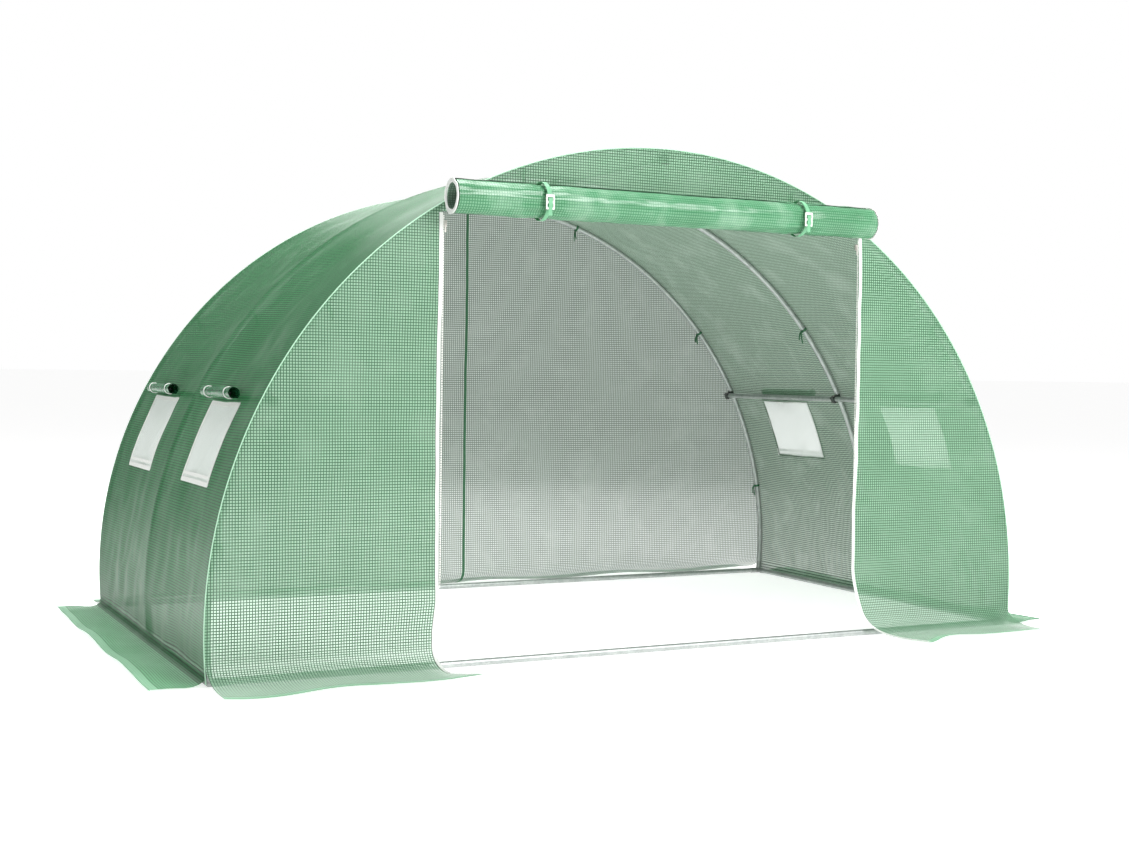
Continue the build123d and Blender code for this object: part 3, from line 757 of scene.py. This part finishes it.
header = grid_piece("door_header_film", steps(-DOOR, DOOR, 0.03), [i / 10 for i in range(11)],
                    header_point, LIT_FRONT_FILM)
remap_uv(header, lambda x, t: (x, HEADER + t * (ZC + math.sqrt(R * R - x * x) - HEADER)))
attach(header, "root")
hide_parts("door_header")

back_low = -(SKIRT_FRONT - GABLE)


def back_point(t, h):
    z_flat = max(h, 0.0)
    x = t * arch_x(z_flat)
    out, z = foot_curve(h)
    if h < FOOT:
        z += 0.006 * (1 + math.sin(8.0 * x)) * min(1.0, out / 0.05)
    return Vector((x, GABLE + out + billow(x, z_flat, 7.0), z))


back = grid_piece("back_panel_film", [i / 60 for i in range(-60, 61)],
                  steps(back_low, ZC + R - 0.012, 0.03), back_point, [BACK_FILM, HEM_FILM],
                  slot_of=lambda t, h: 1 if h < back_low + HEM else 0, flip=True)
remap_uv(back, lambda t, h: (t * arch_x(max(h, 0.0)), h))
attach(back, "root")
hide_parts("back_panel", "back_skirt")
back_area = sum(2 * arch_x(max(h, 0.0)) * 0.01 for h in steps(back_low, ZC + R - 0.012, 0.01))
print("gable films made")

# %% [markdown]
# ## Hems, arch seams and the back's middle seam
#
# Where two pieces of cover meet they are sewn with a folded tape, which shows as a firm cord along each
# arch; its pale green colour is a painted highlight along the seam. The skirts end in a turned hem. These
# edges could be painted on the film, but a real thickness catches light and gives the outline its weight.

# %% Arch seams, skirt hems and the middle seam of the back
def arch_path(radius, y, low_deg=-5.3, high_deg=185.3, count=120):
    angles = [math.radians(low_deg + (high_deg - low_deg) * i / count) for i in range(count + 1)]
    return [Vector((radius * math.cos(a), y, ZC + radius * math.sin(a))) for a in angles]


for label, y in (("front", -GABLE), ("back", GABLE)):
    seam = round_piece(f"arch_seam_{label}", [arch_path(R - 0.001, y)], 0.0022, SEAM_TAPE_PAINTED_HIGHLIGHT)
    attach(seam, "root")

for side, sign in (("left", -1), ("right", 1)):
    rim = [cover_point(sign * u_edge, v) for v in vs]
    ends = [[cover_point(sign * u, y) for u in us if u * sign > ARC - 0.03] for y in (vs[0], vs[-1])]
    hem = round_piece(f"side_skirt_hem_{side}", [rim] + ends, 0.0028, HEM_FILM)
    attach(hem, "root")

middle = [back_point(0.0, h) + Vector((0, -0.0022, 0)) for h in steps(-0.15, ZC + R - 0.02, 0.04)]
back_seam = strip_piece("back_middle_seam", middle, lambda i: (1, 0, 0), 0.014, 0.0012, GREEN_TAPE)
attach(back_seam, "root")
print("back seam is", round(path_length(middle), 3), "long")

# %% [markdown]
# ## Zips
#
# Each side of the doorway has a coil zip on white tape. The tape is a narrow woven strip, the
# teeth are a row of small ridges along its inner edge, and the slider hangs near the top.

# %% Zip tapes and teeth
TOOTH_PITCH = 0.006
TEETH_FROM = 0.31  # the lowest tooth's height
for side, sign in (("left", -1), ("right", 1)):
    rows = steps(-(SKIRT_FRONT - GABLE) + 0.01, HEADER - 0.004, 0.02)
    line = []
    for h in rows:
        edge = front_edge(side, h)
        line.append(edge + Vector((sign * 0.002, -0.0025, 0.003 if h < 0.1 else 0.0)))
    zip_tape = strip_piece(f"door_zip_tape_{side}", line, lambda i: (1, 0, 0), 0.014, 0.0014, WHITE_TAPE)
    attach(zip_tape, "root")
    teeth = bmesh.new()
    for k in range(int((HEADER - 0.32) / TOOTH_PITCH)):
        at = Vector((sign * (DOOR - 0.007), -GABLE - 0.004, TEETH_FROM + TOOTH_PITCH * k))
        shape = Matrix.Translation(at) @ Matrix.Diagonal((0.0055, 0.0032, 0.0036, 1))
        bmesh.ops.create_cube(teeth, size=1.0, matrix=shape)
    bmesh.ops.bevel(teeth, geom=teeth.edges[:], offset=0.0006, segments=1, affect="EDGES")
    mesh = bpy.data.meshes.new(f"door_zip_teeth_{side}")
    teeth.to_mesh(mesh)
    teeth.free()
    mesh.materials.append(WHITE_PLASTIC)
    coil = new_object(mesh.name, mesh)
    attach(coil, "root")
    if side == "right":
        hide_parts("door_zips")
    print(side, "zip tape", round(path_length(line), 3), "long")

# %% [markdown]
# ## The rolled door
#
# The door is the whole front sheet wound up on itself and held by two straps. It could be a tube
# with bumps, but its ends would look like a pipe. It is made as the door really is: one long
# sheet wound in a spiral, with each turn lying on the one inside it. The straps pinch it a little,
# and the sheet is never wound quite evenly, so the outside has long shallow creases.

# %% Sizes of the roll
roll_low, roll_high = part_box("door_roll")
ROLL_Y = (roll_low.y + roll_high.y) / 2
ROLL_Z = (roll_low.z + roll_high.z) / 2
ROLL_R = (roll_high.z - roll_low.z) / 2
ROLL_HALF = roll_high.x - 0.006
STRAP_X = (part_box("door_strap_left")[0].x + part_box("door_strap_left")[1].x) / -2
TURNS = 4.55
INNER_R = 0.050
OUTER_R = ROLL_R - 0.0015
print("roll radius", round(ROLL_R, 4), "half length", round(ROLL_HALF, 3))

# %% [markdown]
# Each point of the sheet has a turn and a place along the roll. Its radius grows with the turn,
# and the creases, the pinch and the gathers are taken off more and more towards the outside.

# %% Door roll as a wound sheet
def roll_radius(turn, x):
    wound = INNER_R + (OUTER_R - INNER_R) * turn / TURNS
    angle = 2 * math.pi * turn
    share = turn / TURNS
    crease = 0.0024 * math.sin(3 * angle + 5.0 * x) * share
    crease += ripple(x * 0.5, 0.3 * math.cos(angle), 0.3 * math.sin(angle), 0.14, 0.0050) * share
    crease += ripple(x + 0.1 * math.sin(angle), 0.25 * math.cos(angle), 2.0, 0.045, 0.0030) * share
    near = [abs(x - s * STRAP_X) for s in (-1, 1)]
    pinch = sum(math.exp(-((d / 0.045) ** 2)) for d in near)
    spread = sum(math.exp(-((d / 0.13) ** 2)) for d in near)
    gathers = 0.0030 * spread * math.sin(11 * angle + 9 * x) * share
    return min(OUTER_R, wound - abs(crease) - 0.007 * pinch * share + gathers - 0.0015 * share)


def roll_point(x, turn):
    angle = 2 * math.pi * turn - math.pi / 2
    radius = roll_radius(turn, x)
    shift = 0.006 * math.sin(5.3 * turn) * abs(x / ROLL_HALF) ** 12 * (1 if x > 0 else -1)
    return Vector((x + shift * 0.3, ROLL_Y + radius * math.cos(angle), ROLL_Z + radius * math.sin(angle)))


turns = [TURNS * i / (TURNS * 56) for i in range(int(TURNS * 56) + 1)]
roll = grid_piece("door_roll_film", steps(-ROLL_HALF, ROLL_HALF, 0.02), turns, roll_point,
                  ROLL_FILM, flip=True)
roll_length = 2 * math.pi * (INNER_R + OUTER_R) / 2 * TURNS
remap_uv(roll, lambda x, turn: (x, turn * roll_length / TURNS))
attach(roll, "door_roll")
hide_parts("door_roll")
print("door wound", round(roll_length, 3), "m long in", TURNS, "turns")

# %% [markdown]
# Each end of the roll shows the door's white binding, wound up with it. It is the same spiral,
# a narrow closed strip just outside the film's end, with a soft puffed section.

# %% White binding on the ends of the roll
for side, sign in (("left", -1), ("right", 1)):
    edge_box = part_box("door_roll_edges")
    end_x = sign * (edge_box[1].x - 0.0045)
    spiral = []
    for i in range(int(TURNS * 40) + 1):
        turn = i / 40
        angle = 2 * math.pi * turn - math.pi / 2
        radius = min(roll_radius(turn, sign * ROLL_HALF), OUTER_R - 0.0027)
        puff = 0.0012 * math.sin(2 * angle + sign)
        spiral.append(Vector((end_x - sign * abs(puff), ROLL_Y + radius * math.cos(angle),
                              ROLL_Z + radius * math.sin(angle))))
    binding = round_piece(f"door_binding_{side}", [spiral], 0.0027, WHITE_TAPE)
    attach(binding, "door_roll")
    if side == "left":
        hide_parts("door_roll_edges")
    print(side, "binding", round(path_length(spiral), 2), "long")

# %% [markdown]
# The last short length of door runs from the header down behind the roll. When the roll travels
# down, the real door unwinds and this curtain grows. Its sheet has many rows that share the
# distance between the header and the roll, so it stretches evenly and its net stays straight.

# %% Curtain between the header and the roll
curtain_low, curtain_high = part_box("door_curtain")
curtain_y = (curtain_low.y + curtain_high.y) / 2
DOOR_TRAVEL = 1.675  # how far the roll comes down


def curtain_point(x, t):
    z = curtain_high.z - 0.002 - t * (curtain_high.z - curtain_low.z - 0.004)
    return Vector((x, curtain_y - 0.002 * math.sin(9 * x) * t, z))


curtain_x = curtain_high.x - 0.004
curtain_drop = curtain_high.z - curtain_low.z - 0.004
curtain = grid_piece("door_curtain_film", steps(-curtain_x, curtain_x, 0.03), [i / 60 for i in range(61)],
                     curtain_point, LIT_FRONT_FILM, flip=True)
remap_uv(curtain, lambda x, t: (x, t * (curtain_drop + DOOR_TRAVEL)))
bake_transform(curtain)
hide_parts("door_curtain")
print("curtain hangs", round(curtain_drop, 3), "at rest")

# %% [markdown]
# ## Straps and buckles
#
# Two narrow webbing straps hold the roll. The upper half is sewn to the header, comes over the
# top of the roll and ends in a white slide buckle at the front. The lower half passes under the
# roll from behind. Webbing is about a millimetre and a half thick, so both are closed strips.

# %% Upper straps
STRAP_W = 0.017
STRAP_R = ROLL_R + 0.0030
OVER = math.radians(120.0)
for side, sign in (("left", -1), ("right", 1)):
    x = sign * STRAP_X
    strap_low, strap_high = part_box(f"door_strap_{side}")
    path = []
    for i in range(25):
        a = OVER * i / 24
        path.append(Vector((x, ROLL_Y - STRAP_R * math.cos(a), ROLL_Z + STRAP_R * math.sin(a))))
    leave = path[-1]
    lift = strap_high.y - 0.0005
    along = Vector((0, math.sin(OVER), math.cos(OVER)))
    reach = (lift - leave.y) / along.y
    for i in range(1, 7):
        sag = -0.0012 * math.sin(math.pi * i / 6)
        path.append(leave + along * (reach * i / 6) + Vector((0, 0, sag)))
    strap = strip_piece(f"door_strap_web_{side}", path, lambda i: (1, 0, 0), STRAP_W, 0.0014,
                        STRAP_WEB)
    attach(strap, f"strap_{side}")
    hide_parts(f"door_strap_{side}")

# %% [markdown]
# The lower half starts behind the roll, passes under it and ends at the front.

# %% Lower straps
UNDER_R = ROLL_R + 0.0014
for side, sign in (("left", -1), ("right", 1)):
    under = []
    for i in range(31):
        a = math.radians(-150 + 132 * i / 30)
        under.append(Vector((sign * STRAP_X, ROLL_Y - UNDER_R * math.cos(a),
                             ROLL_Z + UNDER_R * math.sin(a))))
    lower = strip_piece(f"door_strap_under_{side}", under, lambda i: (1, 0, 0), STRAP_W, 0.0011,
                        STRAP_WEB)
    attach(lower, "door_carrier")
    if side == "left":
        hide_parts("door_strap_loops")

# %% [markdown]
# The buckle is a moulded slide with two slots. A flat plate with two rectangular holes, bevelled
# all round, gives it; the webbing tail threads through and hangs a little below.

# %% Slide buckles
def slide_buckle(name, centre, width, height, depth):
    shape = bmesh.new()
    xs = [-0.5, -0.34, 0.34, 0.5]
    zs = [-0.5, -0.36, -0.10, 0.08, 0.34, 0.5]
    grid = {(i, j): shape.verts.new((x * width, -depth / 2, z * height))
            for i, x in enumerate(xs) for j, z in enumerate(zs)}
    for i in range(3):
        for j in range(5):
            if i == 1 and j in (1, 3):
                continue
            shape.faces.new([grid[i, j], grid[i + 1, j], grid[i + 1, j + 1], grid[i, j + 1]])
    pulled = bmesh.ops.extrude_face_region(shape, geom=shape.faces[:])
    moved = [item for item in pulled["geom"] if isinstance(item, bmesh.types.BMVert)]
    bmesh.ops.translate(shape, verts=moved, vec=(0, depth, 0))
    bmesh.ops.recalc_face_normals(shape, faces=shape.faces[:])
    for v in shape.verts:
        v.co += Vector(centre)
    mesh = bpy.data.meshes.new(name)
    shape.to_mesh(mesh)
    shape.free()
    mesh.materials.append(WHITE_PLASTIC)
    piece = new_object(name, mesh)
    round_off = piece.modifiers.new("rounded", "BEVEL")
    round_off.width = 0.0016
    round_off.segments = 3
    return piece


for side, sign in (("left", -1), ("right", 1)):
    low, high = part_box(f"strap_buckle_{side}")
    centre = (low + high) / 2
    buckle = slide_buckle(f"buckle_{side}", (centre.x, centre.y + 0.0005, centre.z),
                          high.x - low.x - 0.001, high.z - low.z - 0.001, 0.005)
    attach(buckle, f"strap_{side}")
    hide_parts(f"strap_buckle_{side}")
    tail = [Vector((centre.x, low.y + 0.002 - 0.002 * math.sin(i * 0.9), high.z - 0.012 - 0.011 * i))
            for i in range(7)]
    web = strip_piece(f"buckle_web_{side}", tail, lambda i: (1, 0, 0), 0.016, 0.0013, STRAP_WEB)
    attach(web, f"strap_{side}")
print("door straps and buckles made")

# %% [markdown]
# ## Windows
#
# Each window is a square of white mesh sewn into the wall, with a white binding all round. Over
# it hangs a flap of cover film. In use it is rolled up above the window and held by two thin
# elastic loops, which pinch the roll so that it swells at its ends.

# %% Places on the wall
SIGN = {"left": -1, "right": 1}


def on_wall(side, angle, y, radius):
    return Vector((SIGN[side] * radius * math.cos(angle), y, ZC + radius * math.sin(angle)))


def off_axis(point):
    """Unit vector straight out from the cover's axis at a point."""
    return Vector((point.x, 0, point.z - ZC)).normalized()


print("straight out at 27 degrees:", [round(c, 2) for c in off_axis(on_wall("right", 0.47, 0, R))])

# %% [markdown]
# The screen follows the wall but hangs in a little at its middle, with faint wrinkles. It is
# measured up the wall from the ground.

# %% Window screens
s_low, s_high = ARC - window_u[0], ARC - window_u[1]


def window_screen(tag, side, low_y, high_y):
    def place(s, y):
        inward = math.sin(math.pi * (y - low_y) / (high_y - low_y))
        flat = cover_point(SIGN[side] * (ARC - s), y)
        slack = 0.008 * inward + ripple(s + 0.8 * y, y * 0.4, 3.0, 0.07, 0.009) * inward
        return flat - off_axis(flat) * slack

    screen = grid_piece(f"window_screen_{tag}", steps(s_low, s_high, 0.016),
                        steps(low_y, high_y, 0.016), place, SCREEN)
    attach(screen, "root")
    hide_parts(f"{tag}_window_screen")


print("screens reach from", round(s_low, 3), "to", round(s_high, 3), "up the wall")

# %% [markdown]
# Five tapes frame the screen: one along its foot, one a little above that, one along its head and
# one up each side. The width of a level tape goes up the wall, and that of an upright one level.

# %% Window bindings
ALONG_Y = Vector((0, 1, 0))


def window_bindings(tag, side, low_y, high_y):
    def border(s, y):
        point = cover_point(SIGN[side] * (ARC - s), y)
        return point + off_axis(point) * 0.0012

    rails = []
    for s in (s_low - 0.004, s_low + 0.022, s_high + 0.004):
        rails.append([border(s, y) for y in steps(low_y - 0.009, high_y + 0.009, 0.02)])
    for y in (low_y - 0.004, high_y + 0.004):
        rails.append([border(s, y) for s in steps(s_low - 0.009, s_high + 0.009, 0.02)])
    for k, path in enumerate(rails):
        across = [off_axis(point).cross(ALONG_Y) if k < 3 else ALONG_Y for point in path]
        wide = 0.013 if k == 1 else 0.018
        rail = strip_piece(f"window_binding_{tag}_{k + 1}", path, lambda i: across[i],
                           wide, 0.0016, WHITE_TAPE)
        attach(rail, "root")


# %% [markdown]
# The rolled flap is a spiral like the door. Where the elastic loops hold it, it is thinner.

# %% Rolled flaps
FLAP_TURNS = 2.6
FLAP_R = 0.0245
FLAP_ANGLE = math.radians(27.08)  # how far up the arch the roll lies
LOOP_Y = 0.15  # each elastic loop's distance from the flap's middle


def round_flap(side, mid_y):
    """Function that gives a point round a rolled flap's middle line."""
    centre = on_wall(side, FLAP_ANGLE, mid_y, R + 0.028)
    outwards = off_axis(centre)
    upwards = Vector((-outwards.z, 0, outwards.x)) * SIGN[side]

    def place(y, radius, angle):
        middle = centre + Vector((0, y, 0))
        return middle + outwards * (radius * math.cos(angle)) + upwards * (radius * math.sin(angle))

    return place


def window_flap(tag, side, mid_y):
    low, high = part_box(f"{tag}_window_flap")
    half = (high.y - low.y) / 2 - 0.002
    around = round_flap(side, mid_y)

    def place(y, turn):
        angle = 2 * math.pi * turn
        from_middle = y - mid_y
        loose = 0.5 + 0.5 * abs(from_middle / half) ** 3
        pinch = sum(math.exp(-((from_middle - s * LOOP_Y) / 0.017) ** 2) for s in (-1, 1))
        radius = (0.012 + 0.0125 * turn / FLAP_TURNS) * (0.82 + 0.18 * loose) - 0.0055 * pinch
        radius += 0.0009 * math.sin(5 * angle + 30 * y) * turn / FLAP_TURNS
        radius += ripple(y, math.cos(angle) * 0.05, math.sin(angle) * 0.05, 0.05, 0.0015)
        return around(from_middle, min(radius, FLAP_R), angle)

    flap = grid_piece(f"window_flap_{tag}", steps(mid_y - half, mid_y + half, 0.008),
                      [i / 36 for i in range(int(FLAP_TURNS * 36) + 1)], place, FLAP_FILM)
    flap_length = 2 * math.pi * 0.0175 * FLAP_TURNS
    remap_uv(flap, lambda y, turn: (y, turn * flap_length / FLAP_TURNS))
    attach(flap, f"{tag}_flap")
    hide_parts(f"{tag}_window_flap")


# %% [markdown]
# The short piece of flap between its seam and the roll grows as the roll comes down, so it is
# blended between the wall and the flap's body.

# %% Flap sheets
SEAM_ANGLE, ROLL_ANGLE = FLAP_ANGLE + 0.016, FLAP_ANGLE - 0.002
FLAP_DROP = 0.38  # length of flap that comes off the roll
SHEET_HALF = 0.208


def window_flap_sheet(tag, side, mid_y):
    def place(y, t):
        return on_wall(side, SEAM_ANGLE + (ROLL_ANGLE - SEAM_ANGLE) * t, y, R + 0.0022)

    short = (SEAM_ANGLE - ROLL_ANGLE) * (R + 0.0022)
    sheet = grid_piece(f"window_flap_sheet_{tag}", steps(mid_y - SHEET_HALF, mid_y + SHEET_HALF, 0.02),
                       [i / 30 for i in range(31)], place, SHADED_WALL_FILM, flip=side == "right")
    remap_uv(sheet, lambda y, t: (y, t * (short + FLAP_DROP)))
    tuple(place(mid_y, 0.03))
    tuple(place(mid_y, 0.97))
    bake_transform(sheet)


# %% [markdown]
# Two rings of thin elastic go round each roll, slightly oval. Then all four windows are made.

# %% Elastic loops, and the four windows
def flap_elastics(tag, side, mid_y):
    around = round_flap(side, mid_y)
    rings = []
    for s in (-1, 1):
        angles = [2 * math.pi * i / 28 for i in range(28)]
        rings.append([around(s * LOOP_Y + 0.002 * math.sin(a), 0.0218 + 0.001 * math.cos(2 * a), a)
                      for a in angles])
    elastic = round_piece(f"flap_elastic_{tag}", rings, 0.0024, WHITE_TAPE, closed=True)
    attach(elastic, f"{tag}_flap")
    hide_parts(f"{tag}_flap_loops")


for bay in ("front", "back"):
    low_y, high_y = window_y[bay]
    mid_y = (low_y + high_y) / 2
    for side in ("left", "right"):
        tag = f"{bay}_{side}"
        window_screen(tag, side, low_y, high_y)
        window_bindings(tag, side, low_y, high_y)
        window_flap(tag, side, mid_y)
        window_flap_sheet(tag, side, mid_y)
        flap_elastics(tag, side, mid_y)
print("four windows made")

# %% [markdown]
# ## Ties
#
# Short lengths of tape sewn inside the cover are tied round the hoops. Each is a ring of tape
# round the tube, a small knot and two loose tails.

# %% Cover ties
tie_random = random.Random(12)
tie_pieces = []
for y in (HOOP_Y, 0.0, -HOOP_Y):
    for angle_deg in (10, 40, 70, 110, 140, 170):
        a = math.radians(angle_deg)
        radial = Vector((math.cos(a), 0, math.sin(a)))
        tangent = Vector((-math.sin(a), 0, math.cos(a)))
        middle = radial * 1.8035 + Vector((0, y, ZC))
        ring = []
        for i in range(25):
            b = 2 * math.pi * i / 24
            ring.append(middle + radial * (0.0137 * math.cos(b)) + Vector((0, 0.0137 * math.sin(b), 0)))
        tie_pieces.append(strip_piece("tie", ring, lambda i, t=tangent: t, 0.012, 0.0012, GREEN_TAPE))
        for k in (-1, 1):
            droop = tie_random.uniform(0.03, 0.05)
            spread = tie_random.uniform(0.006, 0.018) * k
            start = middle - radial * 0.0155
            tail = []
            for i in range(7):
                t = i / 6
                tail.append(start - radial * (0.010 * math.sin(math.pi * t * 0.8))
                            + Vector((0, spread * t, 0)) - Vector((0, 0, droop * t * t + 0.004 * t)))
            tie_pieces.append(strip_piece("tie", tail, lambda i, t=tangent: (t.x * 0.3, 1.0, t.z * 0.3),
                                          0.009, 0.001, GREEN_TAPE))
        knot = []
        for i in range(12):
            q = 2 * math.pi * i / 12
            knot.append(middle - radial * 0.0165 + tangent * (0.005 * math.cos(q))
                        + Vector((0, 0.006 * math.sin(q), 0)))
        tie_pieces.append(round_piece("tie", [knot], 0.003, GREEN_TAPE, closed=True))
joined = bmesh.new()
for piece in tie_pieces:
    joined.from_mesh(piece.data)
    bpy.data.objects.remove(piece)
mesh = bpy.data.meshes.new("tie_tapes")
joined.to_mesh(mesh)
joined.free()
mesh.materials.append(GREEN_TAPE)
ties = new_object("tie_tapes", mesh)
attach(ties, "root")
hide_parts("cover_ties")
print(len(tie_pieces), "lengths of tape joined as the ties")

# %% [markdown]
# ## Floor, light and camera
#
# The greenhouse stands on a plain pale floor under large soft lights. Most of the light comes
# from above and from the front right, with a weaker one behind so that the film glows.

# %% Floor and world
floor_material, tree, shader, _ = new_material("floor")
shader.inputs["Base Color"].default_value = (0.90, 0.90, 0.895, 1)
shader.inputs["Emission Color"].default_value = (1, 1, 1, 1)
shader.inputs["Emission Strength"].default_value = 0.62
shader.inputs["Roughness"].default_value = 0.75
floor = grid_piece("floor", [-600, 600], [-600, 600], lambda u, v: Vector((u, v, -0.0005)),
                   floor_material)
floor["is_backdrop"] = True

world = bpy.data.worlds.new("studio")
bpy.context.scene.world = world
world.use_nodes = True
sky = world.node_tree.nodes["Background"]
sky.inputs[0].default_value = (1.0, 1.0, 1.0, 1)
# The wall behind is white to look at, but lights the scene less, so that shadows keep depth
looked_at = world.node_tree.nodes.new("ShaderNodeLightPath").outputs["Is Camera Ray"]
strength = math_node(world.node_tree, "MULTIPLY", looked_at, 0.62)
strength = math_node(world.node_tree, "ADD", strength, 0.38)
world.node_tree.links.new(strength, sky.inputs[1])
print("floor and world made")

# %% [markdown]
# The lights are large rectangles, aimed at the middle of the greenhouse. Large lights give soft
# shadows, as a studio does.

# %% Lights
def soft_light(name, at, aim, size, power):
    lamp = bpy.data.lights.new(name, "AREA")
    lamp.shape = "RECTANGLE"
    lamp.size, lamp.size_y = size
    lamp.energy = power
    holder = new_object(name, lamp)
    holder.location = at
    holder.rotation_euler = (Vector(aim) - Vector(at)).to_track_quat("-Z", "Y").to_euler()


soft_light("key", (2.5, -7.5, 5.5), (0, 0, 0.8), (4.0, 3.0), 720.0)
soft_light("top", (-0.5, 0.5, 7.0), (-0.3, 0, 1.2), (4.5, 4.0), 640.0)
soft_light("back", (3.0, 7.0, 4.0), (0, 0, 1.0), (5.0, 2.5), 120.0)
print(len(bpy.data.lights), "lights")

# %% [markdown]
# The camera stands low, to the left of the doorway, and looks slightly down. Its turn is built
# from three directions, which is easier to follow than three angles.

# %% Camera
CAMERA_AT = Vector((-3.114, -6.36, 1.11))
YAW, PITCH, ROLL = 0.464, -0.032, 0.013
lens = bpy.data.cameras.new("camera")
lens.sensor_width = 36.0
lens.lens = 49.68
camera = new_object("camera", lens)
ahead = Vector((math.sin(YAW) * math.cos(PITCH), math.cos(YAW) * math.cos(PITCH), math.sin(PITCH)))
level = ahead.cross(Vector((0, 0, 1))).normalized()
above = level.cross(ahead)
to_right = level * math.cos(ROLL) + above * math.sin(ROLL)
to_top = above * math.cos(ROLL) - level * math.sin(ROLL)
turn = Matrix((to_right, to_top, -ahead)).transposed().to_4x4()
camera.matrix_world = Matrix.Translation(CAMERA_AT) @ turn
bpy.context.scene.camera = camera
bpy.context.scene.view_settings.view_transform = "Standard"
print("camera is", round(CAMERA_AT.length, 2), "from the middle of the floor")

# %% [markdown]
# Last, the model's box is measured and printed.

# %% The model's box
low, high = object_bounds()
print("visual box", [round(v, 3) for v in (*low, *high)])
